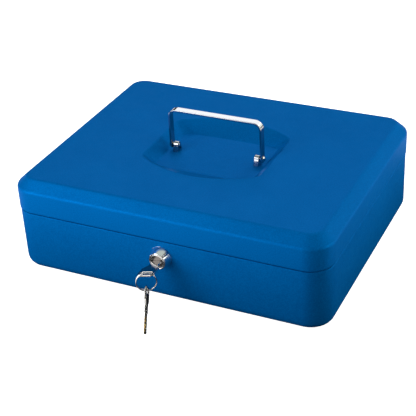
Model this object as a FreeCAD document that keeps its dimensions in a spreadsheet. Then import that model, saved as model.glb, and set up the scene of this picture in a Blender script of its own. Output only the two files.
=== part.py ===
import FreeCAD, Part
import math
import os
import re
import Sketcher

# Cash box: pressed steel base and lid, rear hinges, carrying handle folding into the lid,
# cam lock with keys, and a lift-out coin tray.  Millimetres, +Z up, -Y is the lock side,
# origin at the centre of the underside.  It is drawn closed, unlocked, with the handle up.

SIZES = {
    # sheet metal shells
    "box_length": (300.0, "overall length, left to right"),
    "box_depth": (240.0, "overall depth, front to back"),
    "box_height": (90.0, "underside to top of the lid"),
    "corner_round": (22.0, "plan radius of the lid's corners"),
    "sheet_steel": (1.0, "thickness of the base and lid"),
    "base_inset": (0.5, "base wall stands this far inside the lid's skirt"),
    "base_round": (8.5, "radius where the base's floor turns up into its walls"),
    "shoulder_height": (59.5, "top of the base's outer wall"),
    "shoulder_round": (0.6, "rounding of the shoulder's outer edge"),
    "lip_inset": (1.6, "outer face of the base's lip, inside the lid's outline"),
    "lip_height": (66.0, "top of the base's lip"),
    "skirt_bottom": (60.2, "lower edge of the lid"),
    "slope_inset": (9.9, "width in plan of the lid's sloping border"),
    "slope_drop": (9.1, "height of the lid's sloping border"),
    "slope_round": (4.0, "rounding of the border's two folds"),
    # recess in the lid
    "dish_half_length": (58.2, "recess rim, half length"),
    "dish_half_depth": (57.0, "recess rim, half depth at the middle"),
    "dish_bow": (95.0, "radius of the bowed front and back rims"),
    "dish_corner": (10.0, "plan radius of the rim's corners"),
    "dish_floor": (79.8, "height of the recess floor"),
    "floor_half_length": (48.3, "recess floor, half length"),
    "floor_half_depth": (35.0, "recess floor, half depth"),
    "floor_corner": (8.0, "plan radius of the floor's corners"),
    "rim_round": (1.0, "rounding of the recess rim"),
    "dish_spread": (0.35, "recess wall moves out by this share of the sheet's thickness"),
    "slot_play": (0.1, "clearance in the lid's slots and the lock's hole"),
    # handle
    "pivot_height": (85.7, "handle's pivot axis"),
    "grip_top": (122.5, "top of the raised handle"),
    "grip_half_length": (46.3, "outer half length of the handle"),
    "grip_strap": (1.9, "thickness of the handle's strap"),
    "grip_width": (7.2, "width of the handle's strap"),
    "grip_bend": (8.0, "outer radius of the handle's two bends"),
    "rivet_hole": (1.55, "hole radius in the handle's legs"),
    "rivet_shank": (1.55, "radius of the pivot rivets"),
    "rivet_head": (2.9, "radius of the rivet heads"),
    "rivet_head_thick": (1.6, "thickness of the rivet heads"),
    "rivet_end": (37.6, "inner end of the rivets"),
    "rivet_edge": (0.3, "bevel at the ends of the rivets"),
    "eye_inner": (1.62, "bore radius of the bracket eyes"),
    "eye_outer": (3.0, "outer radius of the bracket eyes"),
    "eye_from": (38.3, "inner face of the brackets"),
    "eye_to": (42.8, "outer face of the brackets"),
    "tail_reach": (8.0, "clinched tails reach this far from the middle"),
    "tail_thick": (1.4, "thickness of the clinched tails"),
    # hinges
    "hinge_pivot_depth": (122.6, "hinge axis behind the middle of the box"),
    "hinge_pivot_height": (59.85, "height of the hinge axis"),
    "hinge_place": (85.0, "hinge centres, left and right of the middle"),
    "hinge_width": (50.0, "length of each hinge"),
    "hinge_knuckle": (2.4, "outer radius of the knuckles"),
    "hinge_bore": (1.25, "bore radius of the knuckles"),
    "hinge_pin_round": (1.2, "radius of the hinge pins"),
    "hinge_leaf": (1.2, "thickness of the hinge leaves"),
    "hinge_leaf_height": (17.0, "height of the hinge leaves from the axis"),
    "hinge_play": (0.15, "end gap between two knuckles"),
    "hinge_corner": (3.0, "rounding of the leaves' free corners"),
    "hinge_open": (105.0, "how far the lid opens, in degrees"),
    "heel_reach": (3.2, "opening stop's tip, from the hinge axis"),
    "heel_front": (1.1, "opening stop's leading face, from the hinge axis"),
    "heel_back": (0.2, "opening stop's trailing face, from the hinge axis"),
    "pin_head_gap": (0.15, "hinge pin's heads, clear of the end knuckles"),
    "pin_head_rise": (0.7, "hinge pin's heads, proud of the pin"),
    "pin_head_flat": (0.5, "full-width part of a hinge pin's head"),
    "pin_head_thick": (0.8, "thickness of a hinge pin's head"),
    # lock
    "lock_height": (43.0, "height of the lock's axis"),
    "bezel_foot": (10.5, "bezel radius at the wall"),
    "bezel_face": (7.7, "bezel radius at the front"),
    "bezel_front": (126.9, "bezel's front face, ahead of the middle of the box"),
    "bezel_lip": (0.5, "bezel's upright edge at the wall"),
    "bezel_edge": (0.2, "rounding of the bezel's front rim"),
    "groove_inner": (6.35, "inner radius of the groove in the bezel's face"),
    "groove_outer": (6.95, "outer radius of the groove in the bezel's face"),
    "groove_depth": (0.5, "depth of the groove in the bezel's face"),
    "barrel_round": (8.0, "radius of the lock's barrel"),
    "barrel_flat": (7.0, "distance of the barrel's flats from its axis"),
    "barrel_end": (103.0, "rear end of the barrel"),
    "collar_end": (99.5, "rear end of the stop collar"),
    "collar_inner": (5.8, "inner radius of the stop collar"),
    "plug_round": (5.5, "radius of the turning plug"),
    "plug_bore": (5.55, "bore that the plug turns in"),
    "plug_front": (126.4, "front face of the plug"),
    "plug_end": (102.6, "rear shoulder of the plug"),
    "key_turn": (16.0, "key's angle at rest, in degrees from level"),
    "plug_edge": (0.3, "bevel on the plug's front face"),
    "drive_square": (3.0, "half width of the plug's square drive"),
    "drive_play": (0.04, "clearance round the square drive"),
    "drive_proud": (0.1, "square drive stops this far short of the cam's rear face"),
    "drive_root": (0.5, "square drive's root, inside the plug"),
    "tapped_hole": (2.0, "radius of the plug's tapped hole"),
    "tapped_depth": (4.2, "depth of the plug's tapped hole, from the plug's shoulder"),
    "cam_thick": (2.0, "thickness of the cam"),
    "cam_reach": (21.0, "length of the cam's arm from the axis"),
    "cam_half_width": (4.5, "half width of the cam's arm"),
    "cam_hub": (5.6, "radius of the cam's hub"),
    "cam_tip": (2.0, "rounding of the cam's tip"),
    "cam_play": (0.05, "clearance between the cam and its stops"),
    "cam_washer_thick": (0.6, "thickness of the cam screw's washer"),
    "cam_washer_round": (5.0, "outer radius of the cam screw's washer"),
    "cam_washer_bore": (2.15, "bore radius of the cam screw's washer"),
    "screw_round": (1.95, "radius of the cam screw's shank"),
    "screw_length": (4.0, "length of the cam screw's shank"),
    "screw_point": (0.4, "bevel at the cam screw's end"),
    "screw_head": (3.6, "radius of the cam screw's head"),
    "screw_head_rim": (1.7, "height of the cam screw's head at its rim"),
    "screw_head_thick": (2.6, "height of the cam screw's head at its middle"),
    "screw_cross": (2.0, "half length of the cross recess"),
    "screw_cross_half": (0.45, "half width of the cross recess"),
    "screw_cross_depth": (1.3, "depth of the cross recess"),
    "nut_flats": (10.0, "half width across the nut's flats"),
    "nut_thick": (3.5, "thickness of the nut"),
    "nut_bevel_out": (2.7, "width of the bevel on the nut's corners"),
    "nut_bevel_drop": (1.6, "height of the bevel on the nut's corners"),
    "washer_thick": (0.8, "thickness of the toothed washer"),
    "washer_round": (11.2, "outer radius of the toothed washer"),
    "washer_gap": (1.2, "width of the gaps between the washer's teeth"),
    "washer_tooth": (1.6, "depth of the washer's teeth"),
    "thread_clear": (8.05, "bore radius of the nut and washer"),
    "wafer_thick": (0.8, "thickness of a wafer"),
    "wafer_pitch": (2.6, "distance between wafers"),
    "wafer_first": (123.2, "first wafer, ahead of the middle of the box"),
    "wafer_half_length": (4.7, "half length of a wafer"),
    "wafer_half_width": (2.6, "half width of a wafer"),
    "wafer_play": (0.05, "clearance round a wafer in its slot"),
    "window_play": (0.15, "clearance round the key in a wafer's window"),
    "channel_half_width": (2.75, "half width of the wafers' channel in the barrel"),
    "channel_half_height": (6.7, "half height of the wafers' channel in the barrel"),
    "channel_margin": (1.0, "wafers' channel goes on past the first and last wafer"),
    # key
    "key_end": (150.0, "end of the key's bow"),
    "key_length": (40.0, "whole length of the key"),
    "key_thick": (1.6, "thickness of the key"),
    "key_bow": (8.5, "half width of the bow"),
    "key_neck": (4.8, "half width of the neck"),
    "key_blade": (3.25, "half width of the blade"),
    "key_bow_corner": (2.5, "rounding of the bow's corners"),
    "key_bow_length": (11.5, "full-width part of the bow"),
    "key_taper_end": (16.0, "end of the taper from the bow to the neck"),
    "key_shoulder": (22.4, "key's stop shoulder, from the end of the bow"),
    "key_tip_length": (1.6, "length of the blade's pointed tip"),
    "key_tip_taper": (1.8, "how far each side of the tip comes in"),
    "key_cut_root": (0.6, "width of a cut at its root"),
    "key_cut_mouth": (1.8, "width of a cut at the blade's edge"),
    "key_play": (0.1, "clearance round the blade in the keyway"),
    "keyway_run": (0.6, "keyway goes on past the key's tip"),
    "key_slot_half": (6.4, "half length of the slot in the bow"),
    "key_slot_start": (1.6, "slot's outer edge from the end of the bow"),
    "key_slot_width": (4.2, "width of the slot in the bow"),
    "ring_round": (8.8, "mean radius of the split ring"),
    "ring_wire": (0.45, "radius of the ring's wire"),
    "ring_overlap": (0.96, "half spacing of the ring's two turns, as a share of the wire's radius"),
    "ring_right": (0.2, "ring's centre, right of the lock's axis"),
    "ring_ahead": (148.0, "ring's centre, ahead of the middle of the box"),
    "ring_height": (36.0, "height of the ring's centre"),
    "ring_facing": (31.0, "ring's axis, turned from straight ahead to the right, in degrees"),
    "spare_grip": (3.1, "ring's wire crosses the spare key this far from its end"),
    "spare_facing": (19.5, "spare key's lean, turned from straight ahead to the right, in degrees"),
    "spare_slope": (44.8, "slope of the spare key, in degrees"),
    # coin tray
    "tray_half_length": (145.4, "tray rim, half length"),
    "tray_half_depth": (115.4, "tray rim, half depth"),
    "tray_corner": (22.0, "plan radius of the tray's rim"),
    "tray_wall": (1.8, "thickness of the moulded tray"),
    "tray_rim_bottom": (51.0, "underside of the tray's rim"),
    "tray_rim_thick": (2.0, "thickness of the tray's rim"),
    "tray_bottom": (24.0, "underside of the coin cups"),
    "tray_rim_width": (2.9, "overhang of the tray's rim"),
    "tray_bay_half": (34.6, "half width of the bay left free for the lock"),
    "tray_bay_back": (90.2, "back of the lock's bay, ahead of the middle"),
    "tray_row_split": (7.1, "middle of the wall between front and back rows"),
    "cup_width": (51.25, "width of a side coin cup"),
    "cup_scoop": (7.0, "radius at the bottom of each cup"),
    "cup_corner": (12.2, "radius in the corners of each cup"),
    "bay_corner": (3.0, "radius in the corners of the lock's bay"),
    "ledge_thick": (1.0, "thickness of the tray's ledges"),
    "ledge_drop": (14.0, "height of the ledges' welded flange"),
    "ledge_reach": (5.5, "width of the ledges"),
    "ledge_length": (160.0, "length of the ledges"),
    # striker
    "striker_left": (27.0, "striker's left edge, left of the lock's axis"),
    "striker_right": (12.5, "striker's right edge, left of the lock's axis"),
    "striker_thick": (1.2, "thickness of the striker"),
    "striker_top": (79.0, "top of the striker's welded pad"),
    "striker_jog": (68.4, "top of the step that brings it in past the lip"),
    "striker_plane": (115.5, "front face of the striker's drop"),
    "striker_foot": (36.0, "underside of the striker's catch"),
    "striker_reach": (97.0, "rear edge of the striker's catch"),
}

doc = FreeCAD.newDocument("cash_box")
sheet = doc.addObject("Spreadsheet::Sheet", "sizes")
for row, (alias, (size, note)) in enumerate(SIZES.items(), start=1):
    sheet.set("A%d" % row, alias)
    sheet.set("B%d" % row, str(size))
    sheet.set("C%d" % row, note)
    sheet.setAlias("B%d" % row, alias)
doc.recompute()

SIDES = {"left": -1, "right": 1}
WAFERS = 5
WASHER_TEETH = 16
KEY_CUTS = (0.7, 1.1, 0.4, 0.9, 0.6)
SUB_PARTS = []


# ---- helpers -------------------------------------------------------------------------

def bound(expression):
    """Write an expression over the sheet's aliases as FreeCAD wants it."""
    text = str(expression)
    return re.sub(r"[a-z_]+", lambda word: "sizes." + word.group(0)
                  if word.group(0) in SIZES else word.group(0), text)


def number(expression):
    """The present value of an expression over the sheet's aliases."""
    result = sheet.evalExpression(bound(expression))
    return float(getattr(result, "Value", result))


def sub_part(item, label):
    """Name a finished object, so that it is written out under that name."""
    item.Label = label
    SUB_PARTS.append(item)
    return item


def new_body(label):
    return sub_part(doc.addObject("PartDesign::Body", label), label)


def new_sketch(body, plane, offset=("0", "0", "0")):
    """A sketch on one of the body's own planes, moved by an offset in the sketch's frame.

    XY_Plane: sketch x, y, normal = X, Y, Z.   XZ_Plane: X, Z, -Y.   YZ_Plane: Y, Z, X.
    """
    sketch = body.newObject("Sketcher::SketchObject", body.Name + "_sketch")
    support = [f for f in body.Origin.OriginFeatures if f.Role == plane][0]
    sketch.AttachmentSupport = [(support, "")]
    sketch.MapMode = "FlatFace"
    for letter, expression in zip("xyz", offset):
        if expression != "0":
            sketch.setExpression("AttachmentOffset.Base." + letter, bound(expression))
    return sketch


def place_point(sketch, geometry, point, x, y):
    """Hold a point of the sketch at x, y, both expressions over the sheet."""
    for kind, expression in (("DistanceX", x), ("DistanceY", y)):
        held = sketch.addConstraint(
            Sketcher.Constraint(kind, -1, 1, geometry, point, number(expression)))
        sketch.setExpression("Constraints[%d]" % held, bound(expression))


def hold_radius(sketch, geometry, expression):
    held = sketch.addConstraint(Sketcher.Constraint("Radius", geometry, number(expression)))
    sketch.setExpression("Constraints[%d]" % held, bound(expression))


def polygon(sketch, corners):
    """A closed outline of straight lines through corners given as expressions."""
    first = sketch.GeometryCount
    points = [FreeCAD.Vector(number(x), number(y), 0) for x, y in corners]
    count = len(points)
    for i in range(count):
        sketch.addGeometry(Part.LineSegment(points[i], points[(i + 1) % count]), False)
    for i in range(count):
        sketch.addConstraint(Sketcher.Constraint(
            "Coincident", first + i, 2, first + (i + 1) % count, 1))
        place_point(sketch, first + i, 1, *corners[i])
    return sketch


def rectangle(sketch, low_x, high_x, low_y, high_y):
    return polygon(sketch, [(low_x, low_y), (high_x, low_y), (high_x, high_y), (low_x, high_y)])


def circle(sketch, radius, x="0", y="0"):
    centre = FreeCAD.Vector(number(x), number(y), 0)
    up = FreeCAD.Vector(0, 0, 1)
    drawn = sketch.addGeometry(Part.Circle(centre, up, number(radius)), False)
    hold_radius(sketch, drawn, radius)
    place_point(sketch, drawn, 3, x, y)
    return sketch


def corner_arc(centre_x, centre_y, radius, start, end):
    """An arc from one angle to another, in degrees, anticlockwise."""
    whole = Part.Circle(FreeCAD.Vector(centre_x, centre_y, 0), FreeCAD.Vector(0, 0, 1), radius)
    return Part.ArcOfCircle(whole, math.radians(start), math.radians(end))


def join_smoothly(sketch, first, count):
    for i in range(count):
        sketch.addConstraint(Sketcher.Constraint(
            "Tangent", first + i, 2, first + (i + 1) % count, 1))


def rounded_rectangle(sketch, half_x, half_y, radius, x="0", y="0"):
    """A rectangle with round corners: right side first, then anticlockwise."""
    first = sketch.GeometryCount
    mid_x, mid_y = number(x), number(y)
    run_x, run_y, turn = number(half_x), number(half_y), number(radius)
    in_x, in_y = run_x - turn, run_y - turn
    sides = [((run_x, -in_y), (run_x, in_y)), ((in_x, run_y), (-in_x, run_y)),
             ((-run_x, in_y), (-run_x, -in_y)), ((-in_x, -run_y), (in_x, -run_y))]
    corners = [(in_x, in_y), (-in_x, in_y), (-in_x, -in_y), (in_x, -in_y)]
    for i in range(4):
        ends = [FreeCAD.Vector(mid_x + px, mid_y + py, 0) for px, py in sides[i]]
        sketch.addGeometry(Part.LineSegment(*ends), False)
        arc_x, arc_y = corners[i]
        sketch.addGeometry(corner_arc(mid_x + arc_x, mid_y + arc_y, turn,
                                      90 * i, 90 * (i + 1)), False)
    join_smoothly(sketch, first, 8)
    for side, kind in ((0, "Vertical"), (2, "Horizontal"), (4, "Vertical"), (6, "Horizontal")):
        sketch.addConstraint(Sketcher.Constraint(kind, first + side))
    for side, axis, expression in ((0, "DistanceX", "(%s) + (%s)" % (x, half_x)),
                                   (2, "DistanceY", "(%s) + (%s)" % (y, half_y)),
                                   (4, "DistanceX", "(%s) - (%s)" % (x, half_x)),
                                   (6, "DistanceY", "(%s) - (%s)" % (y, half_y))):
        held = sketch.addConstraint(
            Sketcher.Constraint(axis, -1, 1, first + side, 1, number(expression)))
        sketch.setExpression("Constraints[%d]" % held, bound(expression))
    hold_radius(sketch, first + 1, radius)
    for corner in (3, 5, 7):
        sketch.addConstraint(Sketcher.Constraint("Equal", first + 1, first + corner))
    return sketch


def bowed_outline(sketch, half_x, half_y, bow, radius):
    """Straight left and right sides, bowed front and back, round corners."""
    run_x, run_y = number(half_x), number(half_y)
    sweep, turn = number(bow), number(radius)
    bow_y = run_y - sweep
    in_x = run_x - turn
    in_y = bow_y + math.sqrt((sweep - turn) ** 2 - in_x ** 2)
    lean = math.degrees(math.atan2(in_y - bow_y, in_x))
    parts = [Part.LineSegment(FreeCAD.Vector(run_x, -in_y, 0), FreeCAD.Vector(run_x, in_y, 0)),
             corner_arc(in_x, in_y, turn, 0, lean),
             corner_arc(0, bow_y, sweep, lean, 180 - lean),
             corner_arc(-in_x, in_y, turn, 180 - lean, 180),
             Part.LineSegment(FreeCAD.Vector(-run_x, in_y, 0), FreeCAD.Vector(-run_x, -in_y, 0)),
             corner_arc(-in_x, -in_y, turn, 180, 180 + lean),
             corner_arc(0, -bow_y, sweep, 180 + lean, 360 - lean),
             corner_arc(in_x, -in_y, turn, 360 - lean, 360)]
    for part in parts:
        sketch.addGeometry(part, False)
    join_smoothly(sketch, 0, 8)
    for side, sign in ((0, ""), (4, "-")):
        sketch.addConstraint(Sketcher.Constraint("Vertical", side))
        held = sketch.addConstraint(
            Sketcher.Constraint("DistanceX", -1, 1, side, 1, number(sign + "(" + half_x + ")")))
        sketch.setExpression("Constraints[%d]" % held, bound(sign + "(" + half_x + ")"))
    hold_radius(sketch, 1, radius)
    for corner in (3, 5, 7):
        sketch.addConstraint(Sketcher.Constraint("Equal", 1, corner))
    hold_radius(sketch, 2, bow)
    sketch.addConstraint(Sketcher.Constraint("Equal", 2, 6))
    rise = "(%s) - (%s)" % (half_y, bow)
    place_point(sketch, 2, 3, "0", rise)
    place_point(sketch, 6, 3, "0", "-(%s)" % rise)
    return sketch


def double_flat(sketch, radius, flat, y="0"):
    """A circle with its left and right sides cut flat."""
    mid_y, turn, run = number(y), number(radius), number(flat)
    lean = math.degrees(math.acos(run / turn))
    rise = math.sqrt(turn ** 2 - run ** 2)
    for part in (Part.LineSegment(FreeCAD.Vector(run, mid_y - rise, 0),
                                  FreeCAD.Vector(run, mid_y + rise, 0)),
                 corner_arc(0, mid_y, turn, lean, 180 - lean),
                 Part.LineSegment(FreeCAD.Vector(-run, mid_y + rise, 0),
                                  FreeCAD.Vector(-run, mid_y - rise, 0)),
                 corner_arc(0, mid_y, turn, 180 + lean, 360 - lean)):
        sketch.addGeometry(part, False)
    for i in range(4):
        sketch.addConstraint(Sketcher.Constraint("Coincident", i, 2, (i + 1) % 4, 1))
    for side, sign in ((0, ""), (2, "-")):
        sketch.addConstraint(Sketcher.Constraint("Vertical", side))
        held = sketch.addConstraint(
            Sketcher.Constraint("DistanceX", -1, 1, side, 1, number(sign + "(" + flat + ")")))
        sketch.setExpression("Constraints[%d]" % held, bound(sign + "(" + flat + ")"))
    hold_radius(sketch, 1, radius)
    hold_radius(sketch, 3, radius)
    place_point(sketch, 1, 3, "0", y)
    place_point(sketch, 3, 3, "0", y)
    return sketch


def extrude(kind, sketch, length, backwards=False, both_ways=False):
    """A Pad or Pocket of a sketch.  A Pocket goes against the sketch's normal."""
    body = sketch.getParentGeoFeatureGroup()
    feature = body.newObject("PartDesign::" + kind, body.Name + "_" + kind.lower())
    feature.Profile = sketch
    feature.setExpression("Length", bound(length))
    feature.Reversed = backwards
    if both_ways:
        feature.SideType = "Symmetric"
    return feature


def pad(sketch, length, **options):
    return extrude("Pad", sketch, length, **options)


def pocket(sketch, length, **options):
    """A Pocket that must remove material, or the build stops."""
    before = settled_volume(sketch.getParentGeoFeatureGroup())
    feature = extrude("Pocket", sketch, length, **options)
    if settled_volume(sketch.getParentGeoFeatureGroup()) > before - 1e-3:
        raise RuntimeError(feature.Name + " removes nothing")
    return feature


def settled_volume(body):
    doc.recompute()
    return body.Tip.Shape.Volume


def revolve(kind, sketch):
    """A Revolution or Groove of a sketch about its own horizontal axis."""
    body = sketch.getParentGeoFeatureGroup()
    feature = body.newObject("PartDesign::" + kind, body.Name + "_" + kind.lower())
    feature.Profile = sketch
    feature.ReferenceAxis = (sketch, ["H_Axis"])
    feature.Angle = 360
    return feature


def dress(kind, body, choose, sizes):
    """A Fillet or Chamfer on the edges that choose() picks from the body so far."""
    doc.recompute()
    before = body.Tip
    names = ["Edge%d" % (i + 1) for i, edge in enumerate(before.Shape.Edges) if choose(edge)]
    if not names:
        raise RuntimeError(body.Label + " has no edge to " + kind)
    feature = body.newObject("PartDesign::" + kind, body.Name + "_" + kind.lower())
    feature.Base = (before, names)
    for name, expression in sizes.items():
        feature.setExpression(name, bound(expression))
    return feature


def fillet(body, choose, radius):
    return dress("Fillet", body, choose, {"Radius": radius})


def level(height, near=0.01):
    """Picks edges that lie flat at a height."""
    place = number(height)
    return lambda edge: (abs(edge.BoundBox.ZMin - place) < near
                         and abs(edge.BoundBox.ZMax - place) < near)


def both(*tests):
    return lambda edge: all(test(edge) for test in tests)


def within(half_x, half_y):
    """Picks edges that lie inside a plan half size about the origin."""
    outside = beyond(half_x, half_y)
    return lambda edge: not outside(edge)


def near_y(place, near=0.1):
    """Picks edges whose middle lies at a y."""
    middle = number(place)
    return lambda edge: abs(edge.BoundBox.Center.y - middle) < near


def beyond(half_x, half_y):
    """Picks edges that reach further out than a plan half size."""
    run_x, run_y = number(half_x), number(half_y)

    def test(edge):
        box = edge.BoundBox
        return max(box.XMax, -box.XMin) > run_x or max(box.YMax, -box.YMin) > run_y
    return test


def along(axis):
    """Picks straight edges parallel to an axis."""
    def test(edge):
        if edge.Curve.TypeId != "Part::GeomLine":
            return False
        return abs(abs(edge.Curve.Direction.dot(axis)) - 1) < 1e-6
    return test


ALONG_X = FreeCAD.Vector(1, 0, 0)
ALONG_Y = FreeCAD.Vector(0, 1, 0)
ALONG_Z = FreeCAD.Vector(0, 0, 1)


# ---- base and its ledges ---------------------------------------------------------------

def make_base_shell():
    """Open pressed box; its rim is joggled inwards to form the lip inside the lid."""
    body = new_body("base_shell")
    half_x = "box_length / 2 - base_inset"
    half_y = "box_depth / 2 - base_inset"
    turn = "corner_round - base_inset"
    lip_x, lip_y = "box_length / 2 - lip_inset", "box_depth / 2 - lip_inset"
    lip_turn = "corner_round - lip_inset"
    pad(rounded_rectangle(new_sketch(body, "XY_Plane"), half_x, half_y, turn), "shoulder_height")
    above = new_sketch(body, "XY_Plane", ("0", "0", "shoulder_height - sheet_steel"))
    pad(rounded_rectangle(above, lip_x, lip_y, lip_turn),
        "lip_height - shoulder_height + sheet_steel")
    mouth = new_sketch(body, "XY_Plane", ("0", "0", "lip_height"))
    rounded_rectangle(mouth, lip_x + " - sheet_steel", lip_y + " - sheet_steel",
                      lip_turn + " - sheet_steel")
    pocket(mouth, "lip_height - shoulder_height + sheet_steel")
    inside = new_sketch(body, "XY_Plane", ("0", "0", "shoulder_height - sheet_steel"))
    rounded_rectangle(inside, half_x + " - sheet_steel", half_y + " - sheet_steel",
                      turn + " - sheet_steel")
    pocket(inside, "shoulder_height - 2 * sheet_steel")
    fillet(body, level("sheet_steel"), "base_round - sheet_steel")
    fillet(body, level("0"), "base_round")
    outside_the_lip = beyond(lip_x + " + shoulder_round / 2", lip_y + " + shoulder_round / 2")
    fillet(body, both(level("shoulder_height"), outside_the_lip), "shoulder_round")
    hole = new_sketch(body, "XZ_Plane", ("0", "0", half_y + " - 2 * sheet_steel"))
    double_flat(hole, "barrel_round + slot_play", "barrel_flat + slot_play", "lock_height")
    pocket(hole, "4 * sheet_steel", backwards=True)


def make_tray_rest(name, side):
    """Spot-welded steel angle under the tray's rim, on one side wall."""
    body = new_body("tray_rest_" + name)
    wall = "(box_length / 2 - base_inset - sheet_steel)"
    top = "tray_rim_bottom"
    section = new_sketch(body, "XZ_Plane")
    polygon(section, [("%d * (%s)" % (side, x), y) for x, y in (
        (wall, top), (wall + " - ledge_reach", top),
        (wall + " - ledge_reach", top + " - ledge_thick"),
        (wall + " - ledge_thick", top + " - ledge_thick"),
        (wall + " - ledge_thick", top + " - ledge_drop"), (wall, top + " - ledge_drop"))])
    pad(section, "ledge_length", both_ways=True)


# ---- lid ---------------------------------------------------------------------------------

def dish_loft(body, margin):
    """Cut the handle's recess into a solid form of the lid, grown by a margin."""
    spread = " + dish_spread * (%s)" % margin
    floor = new_sketch(body, "XY_Plane", ("0", "0", "dish_floor - " + margin))
    rounded_rectangle(floor, "floor_half_length" + spread, "floor_half_depth" + spread,
                      "floor_corner" + spread)
    rim = new_sketch(body, "XY_Plane", ("0", "0", "box_height - " + margin))
    bowed_outline(rim, "dish_half_length" + spread, "dish_half_depth" + spread,
                  "dish_bow" + spread, "dish_corner" + spread)
    loft = body.newObject("PartDesign::SubtractiveLoft", body.Name + "_dish")
    loft.Profile = rim
    loft.Sections = [floor]
    loft.Ruled = True


def lid_form(name, margin, inset, drop):
    """Solid block of the lid's outline, made smaller all round by a margin."""
    body = doc.addObject("PartDesign::Body", name)
    outline = new_sketch(body, "XY_Plane", ("0", "0", "skirt_bottom - " + margin))
    rounded_rectangle(outline, "box_length / 2 - " + margin, "box_depth / 2 - " + margin,
                      "corner_round - " + margin)
    pad(outline, "box_height - skirt_bottom")
    border = dress("Chamfer", body, level("box_height - " + margin), {"Size": drop, "Size2": inset})
    border.ChamferType = "Two distances"
    fold = "box_height - (%s) - (%s)" % (margin, drop)
    fillet(body, level(fold), "slope_round - " + margin)
    fillet(body, level("box_height - " + margin), "slope_round - " + margin)
    dish_loft(body, margin)
    return body


def make_lid_shell():
    """Pressed lid: upright skirt, sloping border, flat top with the handle's recess."""
    slant = "sqrt(slope_inset ^ 2 + slope_drop ^ 2)"
    inner_inset = "slope_inset + sheet_steel * (%s - slope_inset - slope_drop) / slope_drop" % slant
    inner_drop = "slope_drop + sheet_steel * (%s - slope_drop - slope_inset) / slope_inset" % slant
    outside = lid_form("lid_outside", "0", "slope_inset", "slope_drop")
    round_the_dish = within("dish_half_length + dish_corner", "dish_half_depth + dish_corner")
    fillet(outside, both(level("box_height"), round_the_dish), "rim_round")
    slots = new_sketch(outside, "XY_Plane", ("0", "0", "dish_floor"))
    for side in SIDES.values():
        ends = ["%d * (%s)" % (side, x) for x in ("eye_from - slot_play", "eye_to + slot_play")]
        low, high = sorted(ends, key=number)
        rectangle(slots, low, high, "-eye_outer - slot_play / 2", "eye_outer + slot_play / 2")
    pocket(slots, "3 * sheet_steel")
    shell = sub_part(doc.addObject("Part::Cut", "lid_shell"), "lid_shell")
    shell.Base = outside
    shell.Tool = lid_form("lid_inside", "sheet_steel", inner_inset, inner_drop)


def make_lock_striker():
    """Angle welded inside the lid's front; its foot is what the cam holds down."""
    body = new_body("lock_striker")
    skirt = "-(box_depth / 2 - sheet_steel)"
    plane = "-striker_plane"
    thick = "striker_thick"
    section = new_sketch(body, "YZ_Plane", ("0", "0", "-striker_left"))
    polygon(section, [
        (skirt, "striker_top"), (skirt, "striker_jog - " + thick),
        (plane, "striker_jog - " + thick), (plane, "striker_foot"),
        ("-striker_reach", "striker_foot"), ("-striker_reach", "striker_foot + " + thick),
        (plane + " + " + thick, "striker_foot + " + thick),
        (plane + " + " + thick, "striker_jog"), (skirt + " + " + thick, "striker_jog"),
        (skirt + " + " + thick, "striker_top")])
    pad(section, "striker_left - striker_right")


# ---- handle ------------------------------------------------------------------------------

def arch(sketch, half_width, foot, centre, x="0"):
    """An upright outline with a half-round top, its centre at a height."""
    first = sketch.GeometryCount
    mid, run = number(x), number(half_width)
    low, high = number(foot), number(centre)
    corners = [FreeCAD.Vector(mid - run, low, 0), FreeCAD.Vector(mid + run, low, 0),
               FreeCAD.Vector(mid + run, high, 0), FreeCAD.Vector(mid - run, high, 0)]
    sketch.addGeometry(Part.LineSegment(corners[0], corners[1]), False)
    sketch.addGeometry(Part.LineSegment(corners[1], corners[2]), False)
    sketch.addGeometry(corner_arc(mid, high, run, 0, 180), False)
    sketch.addGeometry(Part.LineSegment(corners[3], corners[0]), False)
    for i, join in enumerate(("Coincident", "Tangent", "Tangent", "Coincident")):
        sketch.addConstraint(Sketcher.Constraint(join, first + i, 2, first + (i + 1) % 4, 1))
    place_point(sketch, first, 1, "(%s) - (%s)" % (x, half_width), foot)
    place_point(sketch, first, 2, "(%s) + (%s)" % (x, half_width), foot)
    for upright in (1, 3):
        sketch.addConstraint(Sketcher.Constraint("Vertical", first + upright))
    held = sketch.addConstraint(
        Sketcher.Constraint("DistanceY", -1, 1, first + 2, 3, number(centre)))
    sketch.setExpression("Constraints[%d]" % held, bound(centre))
    return sketch


def make_carry_handle():
    """Flat strap bent into a bail, its leg ends rounded about the pivot."""
    body = new_body("carry_handle")
    reach, foot = "grip_half_length", "pivot_height - grip_width / 2"
    side_view = new_sketch(body, "YZ_Plane", ("0", "0", "-" + reach))
    polygon(side_view, [("-grip_width / 2", foot), ("grip_width / 2", foot),
                        ("grip_width / 2", "grip_top"), ("-grip_width / 2", "grip_top")])
    pad(side_view, "2 * " + reach)
    fillet(body, both(along(ALONG_X), level(foot)), "grip_width / 2 - 0.01")
    opening = new_sketch(body, "XZ_Plane", ("0", "0", "grip_width"))
    rectangle(opening, "-(%s - grip_strap)" % reach, reach + " - grip_strap",
              foot + " - 1", "grip_top - grip_strap")
    pocket(opening, "2 * grip_width")
    fillet(body, both(along(ALONG_Y), level("grip_top - grip_strap")), "grip_bend - grip_strap")
    fillet(body, both(along(ALONG_Y), level("grip_top")), "grip_bend")
    holes = new_sketch(body, "YZ_Plane", ("0", "0", "-2 * " + reach))
    circle(holes, "rivet_hole", "0", "pivot_height")
    pocket(holes, "4 * " + reach, backwards=True)


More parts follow.
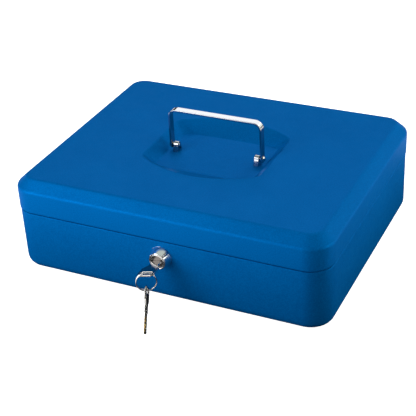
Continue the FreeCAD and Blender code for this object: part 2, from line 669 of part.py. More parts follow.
def make_handle_pin(name, side):
    """Rivet through a leg of the handle and its bracket's eye."""
    body = new_body("handle_pin_" + name)
    outside = "grip_half_length"
    outline = new_sketch(body, "XZ_Plane", ("0", "pivot_height", "0"))
    polygon(outline, [("%d * (%s)" % (side, x), y) for x, y in (
        ("rivet_end", "0"), ("rivet_end", "rivet_shank - rivet_edge"),
        ("rivet_end + rivet_edge", "rivet_shank"),
        (outside, "rivet_shank"), (outside, "rivet_head"),
        (outside + " + rivet_head_thick / 2", "rivet_head - rivet_edge"),
        (outside + " + rivet_head_thick", "rivet_shank"),
        (outside + " + rivet_head_thick", "0"))])
    revolve("Revolution", outline)


def make_handle_bracket(name, side):
    """Strap bent round the rivet; its two tails pass the floor and are clinched under it."""
    body = new_body("handle_bracket_" + name)
    under = "dish_floor - sheet_steel"
    near = "eye_from" if side > 0 else "-eye_to"
    place = ("0", "0", near)
    width = "eye_to - eye_from"
    pad(arch(new_sketch(body, "YZ_Plane", place), "eye_outer", under + " - tail_thick",
             "pivot_height"), width)
    tails = new_sketch(body, "YZ_Plane", place)
    rectangle(tails, "-tail_reach", "tail_reach", under + " - tail_thick", under)
    pad(tails, width)
    eye = new_sketch(body, "YZ_Plane", ("0", "0", near + " - 1"))
    arch(eye, "eye_inner", under + " - 2 * tail_thick", "pivot_height")
    pocket(eye, width + " + 2", backwards=True)


# ---- hinges --------------------------------------------------------------------------------

def knuckle_bands(of_lid):
    """The stretches of a hinge's length, as expressions, that one leaf's knuckles take."""
    fifth = "hinge_width / 5"
    owners = (1, 3) if of_lid else (0, 2, 4)
    return [("-hinge_width / 2 + %d * %s + hinge_play / 2" % (i, fifth), fifth + " - hinge_play")
            for i in owners]


def make_hinge_leaf(name, side, of_lid):
    """Spot-welded leaf with curled knuckles; the lid's also carries the opening stop."""
    body = new_body("hinge_%s_leaf_%s" % ("lid" if of_lid else "base", name))
    centre = "%d * hinge_place" % side
    axis_y, axis_z = "hinge_pivot_depth", "hinge_pivot_height"
    wall = "box_depth / 2" if of_lid else "box_depth / 2 - base_inset"
    far = "%s + hinge_leaf_height" % axis_z if of_lid else "%s - hinge_leaf_height" % axis_z
    near = "%s %s hinge_knuckle" % (axis_z, "+" if of_lid else "-")
    leaf = new_sketch(body, "XZ_Plane", ("0", "0", "-(%s + hinge_leaf)" % wall))
    rectangle(leaf, centre + " - hinge_width / 2", centre + " + hinge_width / 2", near, far)
    pad(leaf, "hinge_leaf")
    fillet(body, both(along(ALONG_Y), level(far)), "hinge_corner")
    root = wall + " + hinge_leaf"
    for start, length in knuckle_bands(of_lid):
        place = ("0", "0", centre + " + " + start)
        strap = new_sketch(body, "YZ_Plane", place)
        low, high = sorted((near, axis_z), key=number)
        rectangle(strap, wall, root, low, high)
        pad(strap, length)
        if not of_lid:
            web = new_sketch(body, "YZ_Plane", place)
            polygon(web, [(root, near), (axis_y, near), (axis_y, axis_z), (root, axis_z)])
            pad(web, length)
        knuckle = new_sketch(body, "YZ_Plane", place)
        circle(knuckle, "hinge_knuckle", axis_y, axis_z)
        pad(knuckle, length)
        if of_lid:
            heel = new_sketch(body, "YZ_Plane", place)
            lean = "hinge_open - 90"
            points = []
            for across, out in (("-heel_back", "0"), ("heel_front", "0"),
                                ("heel_front", "heel_reach"), ("-heel_back", "heel_reach")):
                points.append((axis_y + " + (%s) * cos(%s) + (%s) * sin(%s)"
                               % (out, lean, across, lean),
                               axis_z + " - (%s) * cos(%s) + (%s) * sin(%s)"
                               % (across, lean, out, lean)))
            polygon(heel, points)
            pad(heel, length)
    bore = new_sketch(body, "YZ_Plane", ("0", "0", centre + " - hinge_width"))
    circle(bore, "hinge_bore", axis_y, axis_z)
    pocket(bore, "2 * hinge_width", backwards=True)


def make_hinge_pin(name, side):
    """Plain pin, headed at both ends after assembly."""
    body = new_body("hinge_pin_" + name)
    middle = "%d * hinge_place" % side
    reach = "hinge_width / 2 + pin_head_gap"
    head = "hinge_pin_round + pin_head_rise"
    outline = new_sketch(body, "XZ_Plane", ("0", "hinge_pivot_height", "-hinge_pivot_depth"))
    right = [(reach, "hinge_pin_round"), (reach, head), (reach + " + pin_head_flat", head),
             (reach + " + pin_head_thick", "hinge_pin_round"), (reach + " + pin_head_thick", "0")]
    left = [("-(%s)" % x, radius) for x, radius in reversed(right)]
    polygon(outline, [("%s + (%s)" % (middle, x), radius) for x, radius in left + right])
    revolve("Revolution", outline)


# ---- lock ----------------------------------------------------------------------------------

def turned_outline(body, corners, height="lock_height"):
    """A half section on the lock's axis: (distance ahead of the middle, radius) pairs."""
    sketch = new_sketch(body, "YZ_Plane", ("0", height, "0"))
    return polygon(sketch, [("-(%s)" % ahead, radius) for ahead, radius in corners])


def make_lock_housing():
    """Bezel, barrel and the collar that stops the cam at each end of its quarter turn."""
    body = new_body("lock_housing")
    wall = "box_depth / 2 - base_inset"
    revolve("Revolution", turned_outline(body, [
        ("bezel_front", "plug_bore"), ("bezel_front", "groove_inner"),
        ("bezel_front - groove_depth", "groove_inner"),
        ("bezel_front - groove_depth", "groove_outer"), ("bezel_front", "groove_outer"),
        ("bezel_front - bezel_edge / 2", "bezel_face - bezel_edge"),
        ("bezel_front - 2 * bezel_edge", "bezel_face"), (wall + " + bezel_lip", "bezel_foot"),
        (wall, "bezel_foot"), (wall, "barrel_round"), ("collar_end", "barrel_round"),
        ("collar_end", "collar_inner"), ("barrel_end", "collar_inner"),
        ("barrel_end", "plug_bore")]))
    for side in SIDES.values():
        flat = new_sketch(body, "XZ_Plane", ("0", "lock_height", wall))
        rectangle(flat, "%d * barrel_flat" % side, "%d * 2 * barrel_round" % side,
                  "-barrel_round", "barrel_round")
        pocket(flat, "2 * bezel_front")
    swing = new_sketch(body, "XZ_Plane", ("0", "lock_height", "barrel_end"))
    rectangle(swing, "-2 * barrel_round", "cam_half_width + cam_play",
              "-cam_half_width - cam_play", "2 * barrel_round")
    pocket(swing, "2 * (barrel_end - collar_end)")
    channel = new_sketch(body, "XZ_Plane", ("0", "lock_height", "wafer_first + channel_margin"))
    rectangle(channel, "-channel_half_width", "channel_half_width",
              "-channel_half_height", "channel_half_height")
    pocket(channel, "%d * wafer_pitch + 2 * channel_margin" % (WAFERS - 1))


def make_lock_washer():
    """Toothed washer between the front wall and the nut."""
    body = new_body("lock_washer")
    wall = "box_depth / 2 - base_inset - sheet_steel"
    face = new_sketch(body, "XZ_Plane", ("0", "lock_height", wall + " - washer_thick"))
    circle(face, "washer_round")
    circle(face, "thread_clear")
    pad(face, "washer_thick")
    gap = new_sketch(body, "XZ_Plane", ("0", "lock_height", wall))
    rectangle(gap, "-washer_gap / 2", "washer_gap / 2", "washer_round - washer_tooth",
              "washer_round + washer_tooth")
    cut = pocket(gap, "washer_thick")
    teeth = body.newObject("PartDesign::PolarPattern", body.Name + "_teeth")
    teeth.Originals = [cut]
    teeth.Axis = (gap, ["N_Axis"])
    teeth.Angle = 360
    teeth.Occurrences = WASHER_TEETH
    body.Tip = teeth


def make_lock_nut():
    body = new_body("lock_nut")
    rear = "box_depth / 2 - base_inset - sheet_steel - washer_thick - nut_thick"
    face = new_sketch(body, "XZ_Plane", ("0", "lock_height", rear))
    across = "nut_flats / cos(30)"
    polygon(face, [("%s * cos(%d)" % (across, turn), "%s * sin(%d)" % (across, turn))
                   for turn in range(30, 390, 60)])
    circle(face, "thread_clear")
    pad(face, "nut_thick")
    revolve("Groove", turned_outline(body, [
        (rear, "nut_flats"), (rear, "nut_flats + nut_bevel_out"),
        (rear + " + nut_bevel_drop", "nut_flats + nut_bevel_out")]))


def on_lock_axis(body):
    """Put a body drawn about the world's Y axis on the lock's axis, at the key's rest angle."""
    body.Placement = FreeCAD.Placement(FreeCAD.Vector(0, 0, number("lock_height")),
                                       FreeCAD.Rotation(-ALONG_Y, number("key_turn")))
    body.setExpression("Placement.Base.z", bound("lock_height"))
    body.setExpression("Placement.Rotation.Angle", bound("key_turn"))


def make_lock_plug():
    """Turning core: keyway, wafer slots, square drive and the cam screw's hole."""
    body = new_body("lock_plug")
    revolve("Revolution", turned_outline(body, [
        ("plug_front", "0"), ("plug_front", "plug_round - plug_edge"),
        ("plug_front - plug_edge", "plug_round"),
        ("plug_end", "plug_round"), ("plug_end", "0")], "0"))
    drive = new_sketch(body, "XZ_Plane", ("0", "0", "plug_end - cam_thick + drive_proud"))
    rectangle(drive, "-drive_square", "drive_square", "-drive_square", "drive_square")
    pad(drive, "cam_thick + drive_root")
    keyway = new_sketch(body, "XZ_Plane", ("0", "0", "plug_front"))
    rectangle(keyway, "-key_blade - 2 * key_play", "key_blade + 2 * key_play",
              "-key_thick / 2 - key_play", "key_thick / 2 + key_play")
    pocket(keyway, "plug_front - key_end + key_length + keyway_run")
    slots = new_sketch(body, "YZ_Plane")
    for i in range(WAFERS):
        middle = "-(wafer_first - %d * wafer_pitch)" % i
        rectangle(slots, middle + " - wafer_thick / 2 - wafer_play",
                  middle + " + wafer_thick / 2 + wafer_play",
                  "-wafer_half_width - wafer_play", "wafer_half_width + wafer_play")
    pocket(slots, "4 * plug_round", both_ways=True)
    tapped = new_sketch(body, "XZ_Plane", ("0", "0", "plug_end - cam_thick"))
    circle(tapped, "tapped_hole")
    pocket(tapped, "cam_thick + tapped_depth", backwards=True)
    on_lock_axis(body)


def make_wafer_tumblers():
    """Five flat wafers across the plug, each with a window for the key's blade."""
    wafers = []
    for i in range(WAFERS):
        plate = doc.addObject("Part::Box", "wafer_plate")
        window = doc.addObject("Part::Box", "wafer_window")
        for item, half_x, half_z, thick in (
                (plate, "wafer_half_length", "wafer_half_width", "wafer_thick"),
                (window, "key_blade + window_play", "key_thick / 2 + window_play",
                 "2 * wafer_thick")):
            item.setExpression("Length", bound("2 * (%s)" % half_x))
            item.setExpression("Width", bound(thick))
            item.setExpression("Height", bound("2 * (%s)" % half_z))
            item.setExpression("Placement.Base.x", bound("-(%s)" % half_x))
            item.setExpression("Placement.Base.y", bound(
                "-(wafer_first - %d * wafer_pitch) - (%s) / 2" % (i, thick)))
            item.setExpression("Placement.Base.z", bound("-(%s)" % half_z))
        wafer = doc.addObject("Part::Cut", "wafer")
        wafer.Base = plate
        wafer.Tool = window
        wafers.append(wafer)
    group = sub_part(doc.addObject("Part::Compound", "wafer_tumblers"), "wafer_tumblers")
    group.Links = wafers
    on_lock_axis(group)


def make_lock_cam():
    """Locking arm on the plug's square, drawn pointing up."""
    body = new_body("lock_cam")
    rear = ("0", "0", "plug_end - cam_thick")
    pad(circle(new_sketch(body, "XZ_Plane", rear), "cam_hub"), "cam_thick")
    arm = new_sketch(body, "XZ_Plane", rear)
    rectangle(arm, "-cam_half_width", "cam_half_width", "0", "cam_reach")
    pad(arm, "cam_thick")
    fillet(body, both(along(ALONG_Y), level("cam_reach")), "cam_tip")
    hole = new_sketch(body, "XZ_Plane", ("0", "0", "plug_end"))
    rectangle(hole, *("%s(drive_square + drive_play)" % sign for sign in ("-", "", "-", "")))
    pocket(hole, "cam_thick")
    on_lock_axis(body)


def make_cam_washer():
    body = new_body("cam_washer")
    rear = "plug_end - cam_thick - cam_washer_thick"
    face = new_sketch(body, "XZ_Plane", ("0", "lock_height", rear))
    circle(face, "cam_washer_round")
    circle(face, "cam_washer_bore")
    pad(face, "cam_washer_thick")


def make_cam_screw():
    """Pan-head screw that holds the cam on the plug."""
    body = new_body("cam_screw")
    seat = "plug_end - cam_thick - cam_washer_thick"
    revolve("Revolution", turned_outline(body, [
        (seat + " + screw_length", "0"), (seat + " + screw_length", "screw_round - screw_point"),
        (seat + " + screw_length - screw_point", "screw_round"), (seat, "screw_round"),
        (seat, "screw_head"), (seat + " - screw_head_rim", "screw_head"),
        (seat + " - screw_head_thick", "screw_head / 2"), (seat + " - screw_head_thick", "0")]))
    for half_x, half_z in (("screw_cross", "screw_cross_half"), ("screw_cross_half", "screw_cross")):
        bottom = seat + " - screw_head_thick + screw_cross_depth"
        cross = new_sketch(body, "XZ_Plane", ("0", "lock_height", bottom))
        rectangle(cross, "-" + half_x, half_x, "-" + half_z, half_z)
        pocket(cross, "2 * screw_cross_depth")


# ---- keys ----------------------------------------------------------------------------------

def make_key(label):
    """Flat key along Y, bow at the -Y end, blade cut on both edges."""
    body = new_body(label)
    plan = new_sketch(body, "XY_Plane", ("0", "0", "-key_thick / 2"))
    end = "-key_end"
    tip = end + " + key_length"
    right = [("key_bow - key_bow_corner", end), ("key_bow", end + " + key_bow_corner"),
             ("key_bow", end + " + key_bow_length"), ("key_neck", end + " + key_taper_end"),
             ("key_neck", end + " + key_shoulder"), ("key_blade", end + " + key_shoulder")]
    cut = (("-key_cut_mouth / 2", 0), ("-key_cut_root / 2", 1),
           ("key_cut_root / 2", 1), ("key_cut_mouth / 2", 0))
    for i, depth in enumerate(KEY_CUTS):
        middle = "%d * wafer_pitch - wafer_first" % i
        right += [("key_blade - %g" % (depth * deep), middle + " + " + shift) for shift, deep in cut]
    right += [("key_blade", tip + " - key_tip_length"), ("key_blade - key_tip_taper", tip)]
    left = [("-(%s)" % x, y) for x, y in reversed(right)]
    polygon(plan, right + left)
    pad(plan, "key_thick")
    fillet(body, both(along(ALONG_Z), near_y(end + " + key_bow_corner")), "key_bow_corner")
    slot = new_sketch(body, "XY_Plane", ("0", "0", "key_thick"))
    start = end + " + key_slot_start"
    rectangle(slot, "-key_slot_half", "key_slot_half", start, start + " + key_slot_width")
    pocket(slot, "2 * key_thick")
    for edge_y in (start, start + " + key_slot_width"):
        fillet(body, both(along(ALONG_Z), near_y(edge_y)), "key_slot_width / 2 - 0.01")
    return body


def heading(degrees):
    """Level direction, so many degrees to the right of straight ahead of the box."""
    turn = math.radians(degrees)
    return FreeCAD.Vector(math.sin(turn), -math.cos(turn), 0)


def ring_centre():
    return FreeCAD.Vector(number("ring_right"), -number("ring_ahead"), number("ring_height"))


def make_key_ring():
    """Split ring, drawn as its two close turns of wire, hanging through the key's bow."""
    turns = []
    for side in SIDES.values():
        turn = doc.addObject("Part::Torus", "ring_turn")
        turn.setExpression("Radius1", bound("ring_round"))
        turn.setExpression("Radius2", bound("ring_wire"))
        turn.setExpression("Placement.Base.z", bound("%d * ring_wire * ring_overlap" % side))
        turns.append(turn)
    ring = sub_part(doc.addObject("Part::MultiFuse", "key_ring"), "key_ring")
    ring.Shapes = turns
    ring.Placement = FreeCAD.Placement(ring_centre(), FreeCAD.Rotation(
        ALONG_Z, heading(number("ring_facing"))))


def make_spare_key():
    """Second key on the ring, leaning with its tip on the surface below."""
    body = make_key("spare_key")
    ahead = heading(number("spare_facing"))
    slope = math.radians(number("spare_slope"))
    blade_way = ahead * math.cos(slope) - ALONG_Z * math.sin(slope)
    turned = FreeCAD.Rotation(ALONG_X, blade_way, ALONG_Z.cross(ahead), "YZX")
    held = turned.multVec(FreeCAD.Vector(0, number("spare_grip - key_end"), 0))
    wire = ring_centre() - ALONG_Z * number("ring_round")
    body.Placement = FreeCAD.Placement(wire - held, turned)


# ---- coin tray -------------------------------------------------------------------------------

def make_coin_tray():
    """Moulded lift-out tray: five scooped coin cups in front, two compartments behind."""
    body = new_body("coin_tray")
    rim_x, rim_y = "tray_half_length", "tray_half_depth"
    block_x, block_y = rim_x + " - tray_rim_width", rim_y + " - tray_rim_width"
    block = new_sketch(body, "XY_Plane", ("0", "0", "tray_bottom"))
    rounded_rectangle(block, block_x, block_y, "cup_corner + tray_wall")
    pad(block, "tray_rim_bottom + tray_rim_thick - tray_bottom")
    rim = new_sketch(body, "XY_Plane", ("0", "0", "tray_rim_bottom"))
    rounded_rectangle(rim, rim_x, rim_y, "tray_corner")
    pad(rim, "tray_rim_thick")
    bay = new_sketch(body, "XY_Plane", ("0", "0", "tray_rim_bottom + tray_rim_thick"))
    rectangle(bay, "-tray_bay_half", "tray_bay_half", "-" + rim_y + " - 1", "-tray_bay_back")
    pocket(bay, "tray_rim_bottom + tray_rim_thick - tray_bottom")
    fillet(body, both(along(ALONG_Z), near_y("-tray_bay_back")), "bay_corner")
    cups = new_sketch(body, "XY_Plane", ("0", "0", "tray_rim_bottom + tray_rim_thick"))
    inner_x, inner_y = block_x + " - tray_wall", block_y + " - tray_wall"
    row_back = "-tray_row_split - tray_wall / 2"
    front = "-(%s)" % inner_y
    for side in SIDES.values():
        for place in (0, 1):
            outer_edge = "(%s) - %d * (cup_width + tray_wall)" % (inner_x, place)
            rounded_rectangle(cups, "cup_width / 2", "((%s) - (%s)) / 2" % (row_back, front),
                              "cup_corner", "%d * (%s - cup_width / 2)" % (side, outer_edge),
                              "((%s) + (%s)) / 2" % (row_back, front))
        rear = "-tray_row_split + tray_wall / 2"
        rounded_rectangle(cups, "((%s) - tray_wall / 2) / 2" % inner_x,
                          "((%s) - (%s)) / 2" % (inner_y, rear), "cup_corner",
                          "%d * ((%s) + tray_wall / 2) / 2" % (side, inner_x),
                          "((%s) + (%s)) / 2" % (inner_y, rear))
    bay_inner = "-(tray_bay_back - tray_wall)"
    rounded_rectangle(cups, "tray_bay_half", "((%s) - (%s)) / 2" % (row_back, bay_inner),
                      "cup_corner", "0", "((%s) + (%s)) / 2" % (row_back, bay_inner))
    pocket(cups, "tray_rim_bottom + tray_rim_thick - tray_bottom - tray_wall")
    fillet(body, level("tray_bottom + tray_wall"), "cup_scoop")


# ---- write -----------------------------------------------------------------------------

make_base_shell()
make_lid_shell()
make_lock_striker()
make_carry_handle()
for side_name, side_sign in SIDES.items():
    make_tray_rest(side_name, side_sign)
    make_handle_pin(side_name, side_sign)
    make_handle_bracket(side_name, side_sign)
    make_hinge_leaf(side_name, side_sign, of_lid=False)
    make_hinge_leaf(side_name, side_sign, of_lid=True)
    make_hinge_pin(side_name, side_sign)
make_lock_housing()
make_lock_washer()
make_lock_nut()
make_lock_plug()
make_wafer_tumblers()
make_lock_cam()
make_cam_washer()
make_cam_screw()
on_lock_axis(make_key("key_in_lock"))
make_key_ring()
make_spare_key()
make_coin_tray()

doc.recompute()
for item in doc.Objects:
    if "Invalid" in item.State or "Error" in item.State:
        raise RuntimeError("%s failed: %s" % (item.Name, item.State))
os.makedirs("parts", exist_ok=True)
for item in SUB_PARTS:
    if item.Shape.isNull() or not item.Shape.isValid():
        raise RuntimeError(item.Label + " has no valid shape")
    item.Shape.exportStep("parts/" + item.Label + ".step")
    print(item.Label, len(item.Shape.Solids), round(item.Shape.Volume, 1), item.Shape.BoundBox)
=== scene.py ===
"""Looks of the cash box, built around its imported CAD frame.  Metres, +Z up, -Y is the lock side."""
import math

import bmesh
import bpy
from mathutils import Matrix, Vector


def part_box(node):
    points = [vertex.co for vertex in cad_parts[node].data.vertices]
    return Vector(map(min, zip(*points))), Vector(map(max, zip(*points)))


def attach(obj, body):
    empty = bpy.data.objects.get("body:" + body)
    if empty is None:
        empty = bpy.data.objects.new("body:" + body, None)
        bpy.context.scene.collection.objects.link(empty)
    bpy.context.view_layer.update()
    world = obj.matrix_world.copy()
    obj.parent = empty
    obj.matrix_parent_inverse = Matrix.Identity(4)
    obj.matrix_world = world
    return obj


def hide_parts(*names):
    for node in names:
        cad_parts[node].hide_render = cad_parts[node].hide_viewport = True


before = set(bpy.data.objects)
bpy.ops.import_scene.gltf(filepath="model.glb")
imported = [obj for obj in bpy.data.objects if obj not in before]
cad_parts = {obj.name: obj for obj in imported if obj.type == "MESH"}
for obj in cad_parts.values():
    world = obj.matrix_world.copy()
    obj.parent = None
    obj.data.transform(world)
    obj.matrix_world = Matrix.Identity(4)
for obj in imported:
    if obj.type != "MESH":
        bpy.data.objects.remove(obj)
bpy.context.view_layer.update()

MM = 0.001

# ---- sizes, all taken from the frame or set against it ------------------------------------

LID_LOW, LID_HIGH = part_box("lid_shell")
LIP_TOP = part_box("base_shell")[1].z
HALF_X, HALF_Y = LID_HIGH.x, LID_HIGH.y
LID_TOP, SKIRT_BOTTOM = LID_HIGH.z, LID_LOW.z
SHEET = 1.0 * MM
SHEET_EDGE = 0.22 * MM
BASE_EDGE = 0.2 * MM
CORNER = 22.0 * MM
BASE_INSET = 0.5 * MM
BASE_ROUND = 8.5 * MM
SHOULDER = SKIRT_BOTTOM - 1.5 * MM
SHOULDER_ROUND = 0.7 * MM
LIP_INSET = 2.3 * MM
LIP_ROUND = 0.3 * MM
FLOOR_HALF = 60 * MM
LOCK_HOLE = 8.1 * MM
SLOPE_INSET = 9.9 * MM
SLOPE_DROP = 9.1 * MM
FOLD_ROUND = 4.0 * MM
DISH_FLOOR = LID_TOP - 10.2 * MM
DISH_RIM = (58.2 * MM, 57.0 * MM, 95.0 * MM, 10.0 * MM)
DISH_BOTTOM = (48.3 * MM, 35.0 * MM, 8.0 * MM)
DISH_RIM_ROUND = 4.0 * MM
DISH_FLOOR_ROUND = 4.0 * MM
DISH_BORDER = 3.5 * MM
TOP_RINGS = 6

PIVOT_Z = (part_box("handle_pin_left")[0].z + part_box("handle_pin_left")[1].z) / 2
GRIP_LOW, GRIP_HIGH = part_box("carry_handle")
GRIP_STRAP = 1.9 * MM
GRIP_BEND = 8.0 * MM
GRIP_EDGE = 0.45 * MM
GRIP_TIP = 0.4 * MM
RIVET_SHANK = 1.55 * MM
RIVET_CROWN = 2.9 * MM
EYE_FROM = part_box("handle_bracket_right")[0].x
EYE_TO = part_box("handle_bracket_right")[1].x
EYE_OUTER = 3.0 * MM
EYE_INNER = 1.62 * MM
BRACKET_SPLAY = 2.6 * MM
BRACKET_EDGE = 0.3 * MM
TAIL_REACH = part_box("handle_bracket_right")[1].y
TAIL_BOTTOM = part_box("handle_bracket_right")[0].z

RING_LOW, RING_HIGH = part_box("key_ring")
RING_CENTRE = (RING_LOW + RING_HIGH) / 2
RING_RADIUS = 8.8 * MM
RING_WIRE = 0.45 * MM
RING_FACING = 31.0
RING_START = -62.0
RING_TURNS = 1.97
RING_STEPS = 144

LOCK_LOW, LOCK_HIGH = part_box("lock_housing")
LOCK_Z = (LOCK_LOW.z + LOCK_HIGH.z) / 2
WALL_Y = -HALF_Y + BASE_INSET
BEZEL_FRONT = LOCK_LOW.y
BEZEL_FACE = 7.7 * MM
BEZEL_FOOT = LOCK_HIGH.x
PLUG_BORE = 5.55 * MM
GROOVE_OUTER = 6.95 * MM
GROOVE_INNER = 6.35 * MM
GROOVE_DEPTH = 0.5 * MM
GROOVE_SLOPE = 0.15 * MM
KEY_TURN = 16.0
KEY_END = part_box("key_in_lock")[0].y
KEY_LENGTH = 40.0 * MM
KEY_THICK = 1.6 * MM
KEY_BOW = 8.5 * MM
KEY_BOW_CORNER = 2.5 * MM
KEY_NECK = 4.8 * MM
KEY_BLADE = 3.25 * MM
KEY_EDGE = 0.2 * MM
KEY_BOW_LENGTH = 11.5 * MM
KEY_TAPER_END = 16 * MM
KEY_SHOULDER = 22.4 * MM
KEY_TIP = 1.6 * MM
KEY_TIP_TAPER = 1.8 * MM
CUT_ROOT = 0.6 * MM
CUT_MOUTH = 1.8 * MM
KEY_CUTS = (0.7 * MM, 1.1 * MM, 0.4 * MM, 0.9 * MM, 0.6 * MM)
WAFER_FIRST = -123.2 * MM
WAFER_PITCH = 2.6 * MM
SLOT_HALF = 6.4 * MM
SLOT_START = 1.6 * MM
SLOT_WIDTH = 4.2 * MM
SPARE_GRIP = 3.1 * MM
SPARE_FACING = 19.5
SPARE_SLOPE = 44.8

CORNER_STEPS = 14
SIDE_STEPS = 36
ARC_STEPS = 6


# ---- mesh helpers --------------------------------------------------------------------------

def new_piece(name, points, faces):
    """A mesh object of these points and faces, with its normals made to face outwards."""
    mesh = bpy.data.meshes.new(name)
    mesh.from_pydata([tuple(p) for p in points], [], faces)
    work = bmesh.new()
    work.from_mesh(mesh)
    bmesh.ops.remove_doubles(work, verts=work.verts, dist=1e-7)
    bmesh.ops.recalc_face_normals(work, faces=work.faces)
    work.to_mesh(mesh)
    work.free()
    piece = bpy.data.objects.new(name, mesh)
    bpy.context.scene.collection.objects.link(piece)
    return piece


def settle(piece):
    """Apply a piece's modifiers to its mesh."""
    graph = bpy.context.evaluated_depsgraph_get()
    settled = bpy.data.meshes.new_from_object(piece.evaluated_get(graph))
    piece.modifiers.clear()
    piece.data = settled
    return piece


def smooth(piece, angle=35):
    """Shade smooth, with edges sharper than an angle, in degrees, left sharp."""
    for face in piece.data.polygons:
        face.use_smooth = True
    work = bmesh.new()
    work.from_mesh(piece.data)
    for edge in work.edges:
        edge.smooth = len(edge.link_faces) != 2 or edge.calc_face_angle() < math.radians(angle)
    work.to_mesh(piece.data)
    work.free()
    weighted = piece.modifiers.new("weighted", "WEIGHTED_NORMAL")
    weighted.keep_sharp = True
    return settle(piece)


def bevel(piece, width, steps=2, angle=35):
    """Round a piece's sharp edges."""
    rounded = piece.modifiers.new("bevel", "BEVEL")
    rounded.width = width
    rounded.segments = steps
    rounded.limit_method = "ANGLE"
    rounded.angle_limit = math.radians(angle)
    rounded.harden_normals = False
    return settle(piece)


def thicken(piece, thickness):
    """Give a sheet its thickness, inwards."""
    solid = piece.modifiers.new("solidify", "SOLIDIFY")
    solid.thickness = thickness
    solid.offset = -1
    solid.use_even_offset = True
    solid.use_quality_normals = True
    return settle(piece)


def straight(start, end, steps):
    """Points from one point towards another, without the last one."""
    return [start.lerp(end, i / steps) for i in range(steps)]


def arc(centre, radius, first, last, steps):
    """Points on an arc from one angle to another, in degrees, without the last one."""
    angles = [math.radians(first + (last - first) * i / steps) for i in range(steps)]
    return [centre + radius * Vector((math.cos(a), math.sin(a))) for a in angles]


def rounded_rectangle(half_x, half_y, radius):
    """Closed plan outline, anticlockwise; its second half mirrors the first."""
    in_x, in_y = half_x - radius, half_y - radius
    points = straight(Vector((half_x, -in_y)), Vector((half_x, in_y)), SIDE_STEPS)
    points += arc(Vector((in_x, in_y)), radius, 0, 90, CORNER_STEPS)
    points += straight(Vector((in_x, half_y)), Vector((-in_x, half_y)), SIDE_STEPS)
    points += arc(Vector((-in_x, in_y)), radius, 90, 180, CORNER_STEPS)
    return points + [-p for p in points]


def bowed_rectangle(half_x, half_y, bow, radius):
    """As rounded_rectangle, with its front and back bowed outwards."""
    in_x = half_x - radius
    middle = half_y - bow
    in_y = middle + math.sqrt((bow - radius) ** 2 - in_x ** 2)
    lean = math.degrees(math.atan2(in_y - middle, in_x))
    points = straight(Vector((half_x, -in_y)), Vector((half_x, in_y)), SIDE_STEPS)
    points += arc(Vector((in_x, in_y)), radius, 0, lean, CORNER_STEPS)
    points += arc(Vector((0, middle)), bow, lean, 180 - lean, SIDE_STEPS)
    points += arc(Vector((-in_x, in_y)), radius, 180 - lean, 180, CORNER_STEPS)
    return points + [-p for p in points]


def rounded_path(corners, steps=ARC_STEPS):
    """A path through (x, y) corners; a corner given as (x, y, radius) is rounded."""
    points = []
    for i, corner in enumerate(corners):
        here = Vector(corner[:2])
        if len(corner) < 3:
            points.append(here)
            continue
        back = (Vector(corners[i - 1][:2]) - here).normalized()
        ahead = (Vector(corners[i + 1][:2]) - here).normalized()
        half_turn = back.angle(ahead) / 2
        run = corner[2] / math.tan(half_turn)
        centre = here + (back + ahead).normalized() * corner[2] / math.sin(half_turn)
        first = here + back * run - centre
        sweep = first.angle_signed(here + ahead * run - centre)
        for step in range(steps + 1):
            points.append(centre + Matrix.Rotation(-sweep * step / steps, 2) @ first)
    return points


def loft(name, rings, fill_first=False, fill_last=False, closed=True):
    """Skin rings of equally many points each, in order."""
    count = len(rings[0])
    points = [point for ring in rings for point in ring]
    faces = []
    for i in range(len(rings) - 1):
        for j in range(count if closed else count - 1):
            k = (j + 1) % count
            faces.append((i * count + j, i * count + k, (i + 1) * count + k, (i + 1) * count + j))
    if fill_first:
        faces.append(tuple(range(count)))
    if fill_last:
        faces.append(tuple(range((len(rings) - 1) * count, len(rings) * count)))
    return new_piece(name, points, faces)


def at_height(outline, height):
    """A plan outline lifted to a height."""
    return [Vector((p.x, p.y, height)) for p in outline]


def shell_outline(inset):
    """The box's plan outline, made smaller all round."""
    radius = max(CORNER - inset, 2 * MM)
    return rounded_rectangle(HALF_X - inset, HALF_Y - inset, radius)


def lathe(name, profile, origin, axis, steps=64, hollow=False):
    """Turn a profile of (distance along the axis, radius) points about an axis.

    A hollow one closes its profile into a ring; a full one has its ends filled.
    """
    turned = axis.to_track_quat("Z", "Y").to_matrix()
    rings = []
    for along, radius in profile:
        ring = []
        for i in range(steps):
            angle = 2 * math.pi * i / steps
            local = Vector((radius * math.cos(angle), radius * math.sin(angle), along))
            ring.append(origin + turned @ local)
        rings.append(ring)
    if hollow:
        return loft(name, rings + rings[:1])
    return loft(name, rings, fill_first=profile[0][1] > 0, fill_last=profile[-1][1] > 0)


def strap(name, path, across, widths, thick, edge):
    """Sweep a flat strap with rounded edges along a path; across is its width's direction."""
    rings = []
    for i, point in enumerate(path):
        way = (path[min(i + 1, len(path) - 1)] - path[max(i - 1, 0)]).normalized()
        out = way.cross(across).normalized()
        half = widths[i] / 2
        corner = min(edge, half * 0.9)
        section = []
        for sign_w, sign_t, turn in ((1, 1, 0), (-1, 1, 90), (-1, -1, 180), (1, -1, 270)):
            centre = Vector((sign_w * (half - corner), sign_t * (thick / 2 - edge)))
            for step in range(ARC_STEPS + 1):
                angle = math.radians(turn + 90 * step / ARC_STEPS)
                section.append(centre + Vector((corner * math.cos(angle), edge * math.sin(angle))))
        rings.append([point + across * p.x + out * p.y for p in section])
    return loft(name, rings, fill_first=True, fill_last=True)


